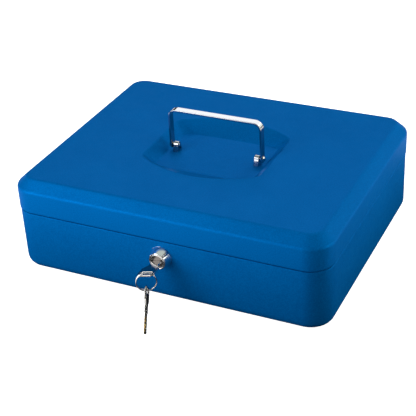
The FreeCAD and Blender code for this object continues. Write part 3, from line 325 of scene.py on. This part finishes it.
def tube(name, path, radius, steps=16):
    """A round wire along a path, with softened cut ends."""
    rings = []
    side = None
    last = len(path) - 1
    for i, point in enumerate(path):
        way = (path[min(i + 1, last)] - path[max(i - 1, 0)]).normalized()
        guess = side if side is not None else way.orthogonal()
        side = (guess - way * guess.dot(way)).normalized()
        up = way.cross(side)
        size = radius * (0.7 if i in (0, last) else 1.0)
        ring = []
        for step in range(steps):
            angle = 2 * math.pi * step / steps
            ring.append(point + (side * math.cos(angle) + up * math.sin(angle)) * size)
        rings.append(ring)
    return loft(name, rings, fill_first=True, fill_last=True)


def refined(node, width, steps=2, angle=35):
    """A copy of a CAD node's mesh with its edges rounded."""
    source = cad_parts[node]
    mesh = source.data.copy()
    mesh.materials.clear()
    work = bmesh.new()
    work.from_mesh(mesh)
    bmesh.ops.remove_doubles(work, verts=work.verts, dist=2e-6)
    bmesh.ops.recalc_face_normals(work, faces=work.faces)
    work.to_mesh(mesh)
    work.free()
    piece = bpy.data.objects.new(node + "_part", mesh)
    bpy.context.scene.collection.objects.link(piece)
    if width:
        bevel(piece, width, steps, angle)
    return piece


def fit_out(piece, body, slot, material, *nodes, angle=35):
    """Shade a piece, give it its material, and let it stand for CAD nodes on a body."""
    smooth(piece, angle)
    if not piece.data.materials:
        piece.data.materials.append(material)
    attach(piece, body)
    if nodes:
        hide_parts(*nodes)
    return piece


# ---- materials -----------------------------------------------------------------------------

class Shading:
    """A Principled material under construction."""

    def __init__(self, name, **sockets):
        self.material = bpy.data.materials.new(name)
        self.material.use_nodes = True
        self.nodes = self.material.node_tree.nodes
        self.links = self.material.node_tree.links
        self.shader = self.nodes["Principled BSDF"]
        for socket, value in sockets.items():
            self.shader.inputs[socket.replace("_", " ")].default_value = value
        self.place = self.nodes.new("ShaderNodeTexCoord").outputs["Object"]

    def stretched(self, x, y, z):
        """Object coordinates, drawn out along some axes."""
        mapping = self.nodes.new("ShaderNodeMapping")
        mapping.inputs["Scale"].default_value = (x, y, z)
        self.links.new(self.place, mapping.inputs["Vector"])
        return mapping.outputs["Vector"]

    def noise(self, scale, detail=2.0, roughness=0.5, vector=None):
        texture = self.nodes.new("ShaderNodeTexNoise")
        texture.inputs["Scale"].default_value = scale
        texture.inputs["Detail"].default_value = detail
        texture.inputs["Roughness"].default_value = roughness
        self.links.new(vector or self.place, texture.inputs["Vector"])
        return texture.outputs["Fac"]

    def ramp(self, value, *stops):
        """Colours or greys at positions along a value."""
        ramp = self.nodes.new("ShaderNodeValToRGB")
        elements = ramp.color_ramp.elements
        while len(elements) < len(stops):
            elements.new(0.5)
        for element, (position, colour) in zip(elements, stops):
            element.position = position
            element.color = colour if isinstance(colour, tuple) else (colour, colour, colour, 1)
        self.links.new(value, ramp.inputs["Fac"])
        return ramp.outputs["Color"]

    def range(self, value, low, high, start=0.3, end=0.7):
        spread = self.nodes.new("ShaderNodeMapRange")
        spread.inputs["From Min"].default_value = start
        spread.inputs["From Max"].default_value = end
        spread.inputs["To Min"].default_value = low
        spread.inputs["To Max"].default_value = high
        self.links.new(value, spread.inputs["Value"])
        return spread.outputs["Result"]

    def feed(self, socket, value):
        self.links.new(value, self.shader.inputs[socket])

    def bump(self, height, distance):
        """Fine relief on the surface."""
        relief = self.nodes.new("ShaderNodeBump")
        relief.inputs["Strength"].default_value = 1.0
        relief.inputs["Distance"].default_value = distance
        self.links.new(height, relief.inputs["Height"])
        self.links.new(relief.outputs["Normal"], self.shader.inputs["Normal"])


COAT_GRAIN = 900


def powder_coat():
    """Satin blue powder coat: fine orange peel, faint cloudiness and speckle."""
    paint = Shading("powder_coat", Metallic=0.25, Specular_IOR_Level=0.5, IOR=1.06,
                    Specular_Tint=(0.0, 0.5, 1.0, 1))
    clouds = paint.noise(22, 3, 0.5)
    speckle = paint.noise(COAT_GRAIN, 2, 0.7)
    mixed = paint.nodes.new("ShaderNodeMix")
    mixed.data_type = "RGBA"
    mixed.inputs["Factor"].default_value = 0.5
    tone = paint.ramp(clouds, (0.3, (0.0, 0.108, 0.372, 1)), (0.7, (0.0, 0.124, 0.412, 1)))
    grain = paint.ramp(speckle, (0.35, (0.0, 0.084, 0.310, 1)), (0.65, (0.0, 0.150, 0.474, 1)))
    paint.links.new(tone, mixed.inputs["A"])
    paint.links.new(grain, mixed.inputs["B"])
    paint.feed("Base Color", mixed.outputs["Result"])
    paint.feed("Roughness", paint.range(paint.noise(140, 3), 0.42, 0.50))
    paint.bump(paint.noise(COAT_GRAIN, 2, 0.6), 0.05 * MM)
    return paint.material


def bright_metal(name, colour, low, high, relief, grain=(1, 1, 1)):
    """Polished or brushed metal; grain draws its fine scratches out along an axis."""
    metal = Shading(name, Metallic=1.0, Base_Color=(*colour, 1))
    scratches = metal.noise(900, 3, 0.6, metal.stretched(*grain))
    smudges = metal.noise(160, 3, 0.5)
    metal.feed("Roughness", metal.range(smudges, low, high))
    metal.bump(scratches, relief)
    return metal.material


def moulded_plastic():
    """Dark moulded plastic with a fine spark-eroded grain."""
    plastic = Shading("moulded_plastic", Specular_IOR_Level=0.5)
    tone = plastic.ramp(plastic.noise(60, 3), (0.3, (0.018, 0.018, 0.020, 1)),
                        (0.7, (0.026, 0.026, 0.029, 1)))
    plastic.feed("Base Color", tone)
    plastic.feed("Roughness", plastic.range(plastic.noise(300, 2), 0.42, 0.56))
    plastic.bump(plastic.noise(2200, 2, 0.6), 0.05 * MM)
    return plastic.material


PAINT = powder_coat()
CHROME = bright_metal("chrome", (0.41, 0.42, 0.44), 0.04, 0.09, 0.001 * MM)
BEZEL_CHROME = bright_metal("bezel_chrome", (0.80, 0.81, 0.82), 0.08, 0.14, 0.001 * MM)
SATIN_CHROME = bright_metal("satin_chrome", (0.52, 0.52, 0.53), 0.16, 0.24, 0.002 * MM)
ZINC = bright_metal("zinc", (0.62, 0.63, 0.66), 0.26, 0.42, 0.01 * MM)
NICKEL = bright_metal("nickel", (0.72, 0.69, 0.66), 0.16, 0.26, 0.004 * MM)
# Painted shade: nickel darkened far below real plating, for the key's flats, so they look shaded; its
# drawn-out scratches are real relief.
PAINTED_SHADE_NICKEL = bright_metal("painted_shade_nickel", (0.15, 0.14, 0.13), 0.16, 0.24, 0.003 * MM,
                           (1, 0.05, 1))
# Painted shade: plating darkened far below the lock's chrome, for the lock plug's recessed face.
PAINTED_SHADE_PLUG_METAL = bright_metal("painted_shade_plug_metal", (0.26, 0.24, 0.23), 0.20, 0.30, 0.003 * MM)
SPRING = bright_metal("spring_steel", (0.78, 0.76, 0.73), 0.12, 0.22, 0.003 * MM)
BRASS = bright_metal("brass", (0.80, 0.58, 0.22), 0.16, 0.30, 0.006 * MM)
PLASTIC = moulded_plastic()


# ---- lid -----------------------------------------------------------------------------------

def lid_profile():
    """(inset, height) from the skirt's lower edge to the flat top, folds rounded."""
    return rounded_path([
        (0, SKIRT_BOTTOM), (0, SKIRT_BOTTOM + 4 * MM), (0, LID_TOP - SLOPE_DROP, FOLD_ROUND),
        (SLOPE_INSET, LID_TOP, FOLD_ROUND), (SLOPE_INSET + 3 * MM, LID_TOP)])


def dish_rings():
    """Rings from the flat top over the recess's rim and down its wall to the floor."""
    rim = bowed_rectangle(*DISH_RIM)
    floor = rounded_rectangle(*DISH_BOTTOM)
    columns = []
    for top, bottom in zip(rim, floor):
        way = bottom - top
        run = way.length
        way.normalize()
        section = rounded_path([
            (-DISH_BORDER, LID_TOP), (0, LID_TOP, DISH_RIM_ROUND),
            (run, DISH_FLOOR, DISH_FLOOR_ROUND), (run + DISH_BORDER, DISH_FLOOR)])
        columns.append([Vector((*(top + way * p.x), p.y)) for p in section])
    rings = [list(ring) for ring in zip(*columns)]
    for share in (0.8, 0.5, 0.2):
        rings.append([Vector((p.x * share, p.y * share, DISH_FLOOR)) for p in floor])
    return rings


def make_lid():
    rings = [at_height(shell_outline(inset), height) for inset, height in lid_profile()]
    dish = dish_rings()
    outer, inner = rings[-1], dish[0]
    for step in range(1, TOP_RINGS):
        rings.append([a.lerp(b, step / TOP_RINGS) for a, b in zip(outer, inner)])
    lid = loft("lid_skin", rings + dish, fill_last=True)
    thicken(lid, SHEET)
    bevel(lid, SHEET_EDGE, angle=60)
    return fit_out(lid, "lid", "blue_paint", PAINT, "lid_shell", angle=40)


# ---- base ----------------------------------------------------------------------------------

def make_base():
    profile = rounded_path([
        (FLOOR_HALF, 0), (10 * MM + BASE_INSET, 0), (BASE_INSET, 0, BASE_ROUND),
        (BASE_INSET, SHOULDER / 2), (BASE_INSET, SHOULDER, SHOULDER_ROUND),
        (LIP_INSET, SHOULDER, LIP_ROUND), (LIP_INSET, LIP_TOP)])
    rings = [at_height(shell_outline(inset), height) for inset, height in profile]
    base = loft("base_skin", rings, fill_first=True)
    thicken(base, SHEET)
    bevel(base, BASE_EDGE, angle=60)
    bore = lathe("lock_hole", [(-10 * MM, LOCK_HOLE), (10 * MM, LOCK_HOLE)],
                 Vector((0, WALL_Y, LOCK_Z)), Vector((0, 1, 0)))
    cut = base.modifiers.new("hole", "BOOLEAN")
    cut.operation = "DIFFERENCE"
    cut.solver = "EXACT"
    cut.object = bore
    settle(base)
    bpy.data.objects.remove(bore)
    return fit_out(base, "base", "blue_paint", PAINT, "base_shell", angle=40)


# ---- handle --------------------------------------------------------------------------------

def make_handle():
    """Chrome strap bent into a bail, its leg ends rounded about the pivots."""
    width = GRIP_HIGH.y - GRIP_LOW.y
    reach = GRIP_HIGH.x - GRIP_STRAP / 2
    top = GRIP_HIGH.z - GRIP_STRAP / 2
    bend = GRIP_BEND - GRIP_STRAP / 2
    foot = [width / 2 * math.cos(math.radians(a)) for a in range(6, 90, 12)]
    low = [PIVOT_Z - drop for drop in foot]
    right = [(reach, z) for z in low]
    side = rounded_path([(reach, PIVOT_Z), (reach, top, bend), (0, top)], 10)
    outline = right + [tuple(p) for p in side]
    outline += [(-x, z) for x, z in reversed(outline[:-1])]
    path = [Vector((x, 0, z)) for x, z in outline]
    widths = []
    for point in path:
        below = max(PIVOT_Z - point.z, 0)
        widths.append(2 * math.sqrt(max((width / 2) ** 2 - below ** 2, GRIP_TIP ** 2)))
    handle = strap("bail_handle", path, Vector((0, 1, 0)), widths, GRIP_STRAP, GRIP_EDGE)
    return fit_out(handle, "handle", "chrome_plate", CHROME, "carry_handle", angle=50)


def make_rivet(name, side):
    """Pivot rivet with a domed head outside and an upset end inside."""
    low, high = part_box("handle_pin_" + name)
    inner = low.x if side > 0 else -high.x
    outer = high.x if side > 0 else -low.x
    head = GRIP_HIGH.x - inner
    whole = outer - inner
    profile = rounded_path([
        (0, 0), (0, RIVET_SHANK, 0.35 * MM), (head, RIVET_SHANK), (head, RIVET_CROWN, 0.2 * MM),
        (head + 0.55 * MM, RIVET_CROWN, 0.5 * MM), (whole, 1.3 * MM, 0.8 * MM), (whole, 0)], 4)
    origin = Vector((side * inner, 0, PIVOT_Z))
    rivet = lathe("rivet_" + name, [tuple(p) for p in profile], origin, Vector((side, 0, 0)), 40)
    return fit_out(rivet, "handle", "chrome_plate", SATIN_CHROME, "handle_pin_" + name, angle=50)


def make_bracket(name, side):
    """Strap folded over the rivet, its tails clinched under the recess floor."""
    thick = EYE_OUTER - EYE_INNER
    mean = (EYE_OUTER + EYE_INNER) / 2
    tail = TAIL_BOTTOM + thick / 2
    centre = side * (EYE_FROM + EYE_TO) / 2
    spread = mean + BRACKET_SPLAY
    half = rounded_path([(TAIL_REACH, tail), (spread, tail, thick * 0.8), (mean, PIVOT_Z)])
    crown = arc(Vector((0, PIVOT_Z)), mean, 0, 90, 10)[1:]
    right = half + crown
    outline = right + [Vector((0, PIVOT_Z + mean))] + [Vector((-p.x, p.y)) for p in reversed(right)]
    path = [Vector((centre, p.x, p.y)) for p in outline]
    widths = [EYE_TO - EYE_FROM] * len(path)
    bracket = strap("bracket_" + name, path, Vector((1, 0, 0)), widths, thick, BRACKET_EDGE)
    return fit_out(bracket, "lid", "chrome_plate", CHROME, "handle_bracket_" + name, angle=50)


# ---- lock, keys and ring --------------------------------------------------------------------

def make_bezel():
    """Chrome cone with a grooved front rim, turned in one piece with its bore."""
    foot = -WALL_Y
    profile = rounded_path([
        (foot, BEZEL_FOOT - 0.05 * MM), (foot + 0.5 * MM, BEZEL_FOOT, 0.2 * MM),
        (-BEZEL_FRONT - 0.25 * MM, BEZEL_FACE + 0.05 * MM, 0.15 * MM),
        (-BEZEL_FRONT, BEZEL_FACE - 0.2 * MM, 0.15 * MM),
        (-BEZEL_FRONT, GROOVE_OUTER, 0.08 * MM),
        (-BEZEL_FRONT - GROOVE_DEPTH, GROOVE_OUTER - GROOVE_SLOPE, 0.1 * MM),
        (-BEZEL_FRONT - GROOVE_DEPTH, GROOVE_INNER + GROOVE_SLOPE, 0.1 * MM),
        (-BEZEL_FRONT, GROOVE_INNER, 0.08 * MM),
        (-BEZEL_FRONT, PLUG_BORE + 0.05 * MM, 0.1 * MM), (-BEZEL_FRONT - 3 * MM, PLUG_BORE),
        (foot, PLUG_BORE)], 4)
    bezel = lathe("lock_bezel", [tuple(p) for p in profile], Vector((0, 0, LOCK_Z)),
                  Vector((0, -1, 0)), 96, hollow=True)
    fit_out(bezel, "base", "chrome_plate", BEZEL_CHROME, angle=40)
    barrel = refined("lock_housing", 0)
    work = bmesh.new()
    work.from_mesh(barrel.data)
    everything = list(work.verts) + list(work.edges) + list(work.faces)
    cut = bmesh.ops.bisect_plane(work, geom=everything, plane_co=(0, WALL_Y - 0.01 * MM, 0),
                                 plane_no=(0, -1, 0), clear_outer=True)
    rims = [e for e in cut["geom_cut"] if isinstance(e, bmesh.types.BMEdge)]
    bmesh.ops.bridge_loops(work, edges=rims)
    work.to_mesh(barrel.data)
    work.free()
    barrel.name = "lock_barrel"
    return fit_out(barrel, "base", "chrome_plate", SATIN_CHROME, "lock_housing")


def plate(name, outlines, thick, edge, place):
    """A flat plate cut to closed outlines, holes included, with rounded edges.

    The outlines lie in the plate's own x, y plane, which place carries into the frame.
    """
    curve = bpy.data.curves.new(name, "CURVE")
    curve.dimensions = "2D"
    curve.fill_mode = "BOTH"
    curve.extrude = thick / 2 - edge
    curve.bevel_depth = edge
    curve.bevel_resolution = 2
    curve.offset = -edge
    for outline in outlines:
        spline = curve.splines.new("POLY")
        spline.points.add(len(outline) - 1)
        for point, (x, y) in zip(spline.points, outline):
            point.co = (x, y, 0, 1)
        spline.use_cyclic_u = True
    drawn = bpy.data.objects.new(name, curve)
    bpy.context.scene.collection.objects.link(drawn)
    graph = bpy.context.evaluated_depsgraph_get()
    mesh = bpy.data.meshes.new_from_object(drawn.evaluated_get(graph))
    bpy.data.objects.remove(drawn)
    mesh.transform(place)
    piece = bpy.data.objects.new(name, mesh)
    bpy.context.scene.collection.objects.link(piece)
    work = bmesh.new()
    work.from_mesh(mesh)
    bmesh.ops.remove_doubles(work, verts=work.verts, dist=2e-6)
    bmesh.ops.recalc_face_normals(work, faces=work.faces)
    work.to_mesh(mesh)
    work.free()
    mesh.materials.clear()
    return piece


def key_outline():
    """Right half of the key's outline, from the end of the bow to the tip."""
    end = KEY_END
    tip = end + KEY_LENGTH
    half = rounded_path([
        (0, end), (KEY_BOW - KEY_BOW_CORNER, end, 0.2 * MM),
        (KEY_BOW, end + KEY_BOW_CORNER, KEY_BOW_CORNER), (KEY_BOW, end + KEY_BOW_LENGTH, 1.5 * MM),
        (KEY_NECK, end + KEY_TAPER_END, 1.2 * MM), (KEY_NECK, end + KEY_SHOULDER, 0.3 * MM),
        (KEY_BLADE, end + KEY_SHOULDER)], 5)[1:]
    for i, depth in enumerate(KEY_CUTS):
        middle = WAFER_FIRST + i * WAFER_PITCH
        for shift, deep in ((-CUT_MOUTH, 0), (-CUT_ROOT, 1), (CUT_ROOT, 1), (CUT_MOUTH, 0)):
            half.append(Vector((KEY_BLADE - depth * deep, middle + shift / 2)))
    half += rounded_path([(KEY_BLADE, tip - 4 * MM), (KEY_BLADE, tip - KEY_TIP, 0.4 * MM),
                          (KEY_BLADE - KEY_TIP_TAPER, tip, 0.5 * MM), (0, tip)], 4)[1:-1]
    return half


def make_key(name, node, body, place):
    """Nickel-plated key, its flats darkened with painted shade and finely scratched; the cuts, made
    after plating, show its brass.
    """
    half = key_outline()
    outer = [tuple(p) for p in half] + [(-p.x, p.y) for p in reversed(half)]
    centre = Vector((SLOT_HALF - SLOT_WIDTH / 2, 0))
    slot = arc(centre, SLOT_WIDTH / 2, -90, 90, 12) + arc(-centre, SLOT_WIDTH / 2, 90, 270, 12)
    middle = KEY_END + SLOT_START + SLOT_WIDTH / 2
    slot = [(p.x, p.y + middle) for p in slot]
    key = plate(name, [outer, slot], KEY_THICK, KEY_EDGE, Matrix.Identity(4))
    key_finishes = (NICKEL, BRASS, PAINTED_SHADE_NICKEL)
    for finish in key_finishes:
        key.data.materials.append(finish)
    for face in key.data.polygons:
        cut_zone = face.center.y > WAFER_FIRST - 1.2 * MM
        if cut_zone and abs(face.normal.z) < 0.5 and abs(face.center.x) < KEY_BLADE + 0.01 * MM:
            face.material_index = key_finishes.index(BRASS)
        # The flats get the darkened nickel of painted shade; the edges keep bright nickel.
        elif abs(face.normal.z) > 0.95:
            face.material_index = key_finishes.index(PAINTED_SHADE_NICKEL)
    key.data.transform(place)
    return fit_out(key, body, "key_nickel", NICKEL, node)


def key_places():
    """Where the key in the lock and the spare key on the ring are."""
    in_lock = (Matrix.Translation((0, 0, LOCK_Z))
               @ Matrix.Rotation(math.radians(KEY_TURN), 4, Vector((0, -1, 0))))
    facing, slope = math.radians(SPARE_FACING), math.radians(SPARE_SLOPE)
    ahead = Vector((math.sin(facing), -math.cos(facing), 0))
    up = Vector((0, 0, 1))
    blade_way = ahead * math.cos(slope) - up * math.sin(slope)
    flat = up.cross(ahead)
    turned = Matrix((blade_way.cross(flat), blade_way, flat)).transposed()
    held = turned @ Vector((0, KEY_END + SPARE_GRIP, 0))
    wire = RING_CENTRE - up * RING_RADIUS
    return in_lock, Matrix.Translation(wire - held) @ turned.to_4x4()


def make_ring():
    """Split ring: two close turns of wire with a crossing between them."""
    facing = math.radians(RING_FACING)
    axis = Vector((math.sin(facing), -math.cos(facing), 0))
    right = Vector((math.cos(facing), math.sin(facing), 0))
    up = Vector((0, 0, 1))
    path = []
    for i in range(RING_STEPS + 1):
        turn = math.radians(RING_START + 360 * RING_TURNS * i / RING_STEPS)
        share = min(max((i / RING_STEPS - 0.46) / 0.08, 0), 1)
        shift = (share * share * (3 - 2 * share) * 2 - 1) * RING_WIRE * 0.98
        out = right * math.cos(turn) + up * math.sin(turn)
        path.append(RING_CENTRE + out * RING_RADIUS + axis * shift)
    ring = tube("split_ring", path, RING_WIRE)
    return fit_out(ring, "ring", "ring_steel", SPRING, "key_ring", angle=60)


# ---- stage, lights and camera ----------------------------------------------------------------

GLOW = 1.3
BOX_MIDDLE = (0, 0, 0.05)
FRONT_LEFT = (-0.05, -0.1, 0.05)
CAMERA_ANGLES = (26.67, 30.84, -3.284)
CAMERA_TARGET = Vector((-6.0, -12.6, 30.6)) * MM
CAMERA_DISTANCE = 1045.1 * MM
CAMERA_LENS = 96.62
FLOOR_LEVEL = -0.2 * MM
MAT_LEVEL = -1 * MM
FLAG_LEVEL = -1.5 * MM
TABLE_LEVEL = -2 * MM


def level_plane(name, half_x, half_y, height, shade, turn=0.0, out=0.0):
    """A horizontal plane of the stage, moved out along +X and then turned, in degrees."""
    spin = Matrix.Rotation(math.radians(turn), 3, "Z")
    corners = [spin @ Vector((out + x * half_x, y * half_y, height))
               for x, y in ((-1, -1), (1, -1), (1, 1), (-1, 1))]
    plane = new_piece(name, corners, [(0, 1, 2, 3)])
    plane.data.materials.append(shade.material)
    return plane


def make_stage():
    """Pale floor.  The box is lit from below by a glowing table with a dark mat round its foot."""
    pale = Shading("pale_floor", Base_Color=(0.93, 0.93, 0.93, 1), Roughness=0.9,
                   Emission_Color=(1, 1, 1, 1), Emission_Strength=0.95)
    glow = Shading("table_glow", Base_Color=(0.1, 0.1, 0.1, 1), Roughness=0.8,
                   Emission_Color=(1, 1, 1, 1), Emission_Strength=GLOW)
    dark = Shading("dark_mat", Base_Color=(0.03, 0.03, 0.03, 1), Roughness=0.8)
    floor = level_plane("floor", 6.0, 6.0, FLOOR_LEVEL, pale)
    table = level_plane("table", 3.0, 3.0, TABLE_LEVEL, glow)
    mat = level_plane("mat", 0.24, 0.21, MAT_LEVEL, dark)
    flag = level_plane("dark_flag", 0.4, 0.17, FLAG_LEVEL, dark, turn=-45, out=0.65)
    floor.visible_diffuse = False
    floor.visible_glossy = False
    floor.visible_shadow = False
    for unseen in (table, mat, flag):
        unseen.visible_camera = False


def area_light(name, place, target, size, power, colour=(1, 1, 1)):
    """A soft rectangular light at a place, aimed at a target; power in watts."""
    data = bpy.data.lights.new(name, "AREA")
    data.shape = "RECTANGLE"
    data.size, data.size_y = size
    data.energy = power
    data.color = colour
    light = bpy.data.objects.new(name, data)
    light.location = place
    aim = Vector(target) - Vector(place)
    light.rotation_euler = aim.to_track_quat("-Z", "Y").to_euler()
    bpy.context.scene.collection.objects.link(light)


def make_lights():
    """Softboxes above and in front, cards behind and to the right, and a little fill all round."""
    area_light("top_softbox", (0, 0.1, 1.2), (0, 0, 0), (1.9, 1.7), 6.1, (0.88, 0.99, 0.92))
    area_light("front_left_softbox", (-0.95, -1.1, 0.7), BOX_MIDDLE, (0.8, 0.8), 6.3)
    area_light("front_left_low", (-0.6, -0.9, 0.26), FRONT_LEFT, (1.1, 0.45), 4.6)
    area_light("front_left_near", (-0.35, -0.50, 0.45), FRONT_LEFT, (0.35, 0.35), 1.1)
    area_light("back_card", (-0.15, 1.1, 0.88), BOX_MIDDLE, (1.9, 0.55), 6.8)
    area_light("right_back_card", (0.85, 1.05, 0.5), BOX_MIDDLE, (0.7, 0.55), 2.2, (0.95, 1, 0.9))
    area_light("right_card", (1.0, 0.15, 0.85), (0, -0.1, 0.05), (0.4, 0.3), 1.0)
    area_light("right_low_softbox", (0.9, 0.15, 0.3), (0.1, 0, 0.05), (0.6, 0.3), 3.4,
               (0.95, 1, 0.88))
    world = bpy.data.worlds.new("studio")
    bpy.context.scene.world = world
    world.use_nodes = True
    background = world.node_tree.nodes["Background"]
    background.inputs["Color"].default_value = (1, 1, 1, 1)
    background.inputs["Strength"].default_value = 0.03
    bpy.context.scene.view_settings.view_transform = "Standard"


def make_camera():
    """Seen from the front right, above, with the slight roll of a hand-held view."""
    azimuth, elevation, roll = (math.radians(a) for a in CAMERA_ANGLES)
    back = Vector((math.sin(azimuth) * math.cos(elevation),
                   -math.cos(azimuth) * math.cos(elevation), math.sin(elevation)))
    level = Vector((math.cos(azimuth), math.sin(azimuth), 0))
    right = Matrix.Rotation(roll, 3, back) @ level
    turned = Matrix((right, back.cross(right), back)).transposed().to_4x4()
    data = bpy.data.cameras.new("camera")
    data.lens = CAMERA_LENS
    data.sensor_width = 36
    data.clip_start = 0.01
    camera = bpy.data.objects.new("camera", data)
    camera.matrix_world = Matrix.Translation(CAMERA_TARGET + back * CAMERA_DISTANCE) @ turned
    bpy.context.scene.collection.objects.link(camera)
    bpy.context.scene.camera = camera


# ---- putting it together ---------------------------------------------------------------------

make_lid()
make_base()
make_handle()
for side_name, side_sign in (("left", -1), ("right", 1)):
    make_rivet(side_name, side_sign)
    make_bracket(side_name, side_sign)
make_bezel()
place_in_lock, place_spare = key_places()
make_key("key_turning", "key_in_lock", "key", place_in_lock)
make_key("key_spare", "spare_key", "spare", place_spare)
make_ring()

# node: (body, edge rounding, material, material slot)
PARTS = {
    # lock_plug takes the darkened plating of painted shade for its recessed face.
    "lock_plug": ("lock_core", 0.05 * MM, PAINTED_SHADE_PLUG_METAL, "chrome_plate"),
    "lock_washer": ("base", 0.1 * MM, ZINC, "zinc_steel"),
    "lock_nut": ("base", 0.2 * MM, ZINC, "zinc_steel"),
    "lock_cam": ("lock_core", 0.2 * MM, ZINC, "zinc_steel"),
    "cam_washer": ("lock_core", 0.1 * MM, ZINC, "zinc_steel"),
    "cam_screw": ("lock_core", 0.1 * MM, ZINC, "zinc_steel"),
    "wafer_tumblers": ("lock_core", 0, BRASS, "brass_wafer"),
    "lock_striker": ("lid", 0.25 * MM, PAINT, "blue_paint"),
    "coin_tray": ("tray", 0.45 * MM, PLASTIC, "black_plastic"),
}
for part_side in ("left", "right"):
    PARTS["hinge_base_leaf_" + part_side] = ("base", 0.25 * MM, PAINT, "blue_paint")
    PARTS["hinge_lid_leaf_" + part_side] = ("lid", 0.25 * MM, PAINT, "blue_paint")
    PARTS["hinge_pin_" + part_side] = ("base", 0.15 * MM, ZINC, "zinc_steel")
    PARTS["tray_rest_" + part_side] = ("base", 0.2 * MM, PAINT, "blue_paint")
for part, (part_body, rounding, finish, part_slot) in PARTS.items():
    fit_out(refined(part, rounding), part_body, part_slot, finish, part)

make_stage()
make_lights()
make_camera()
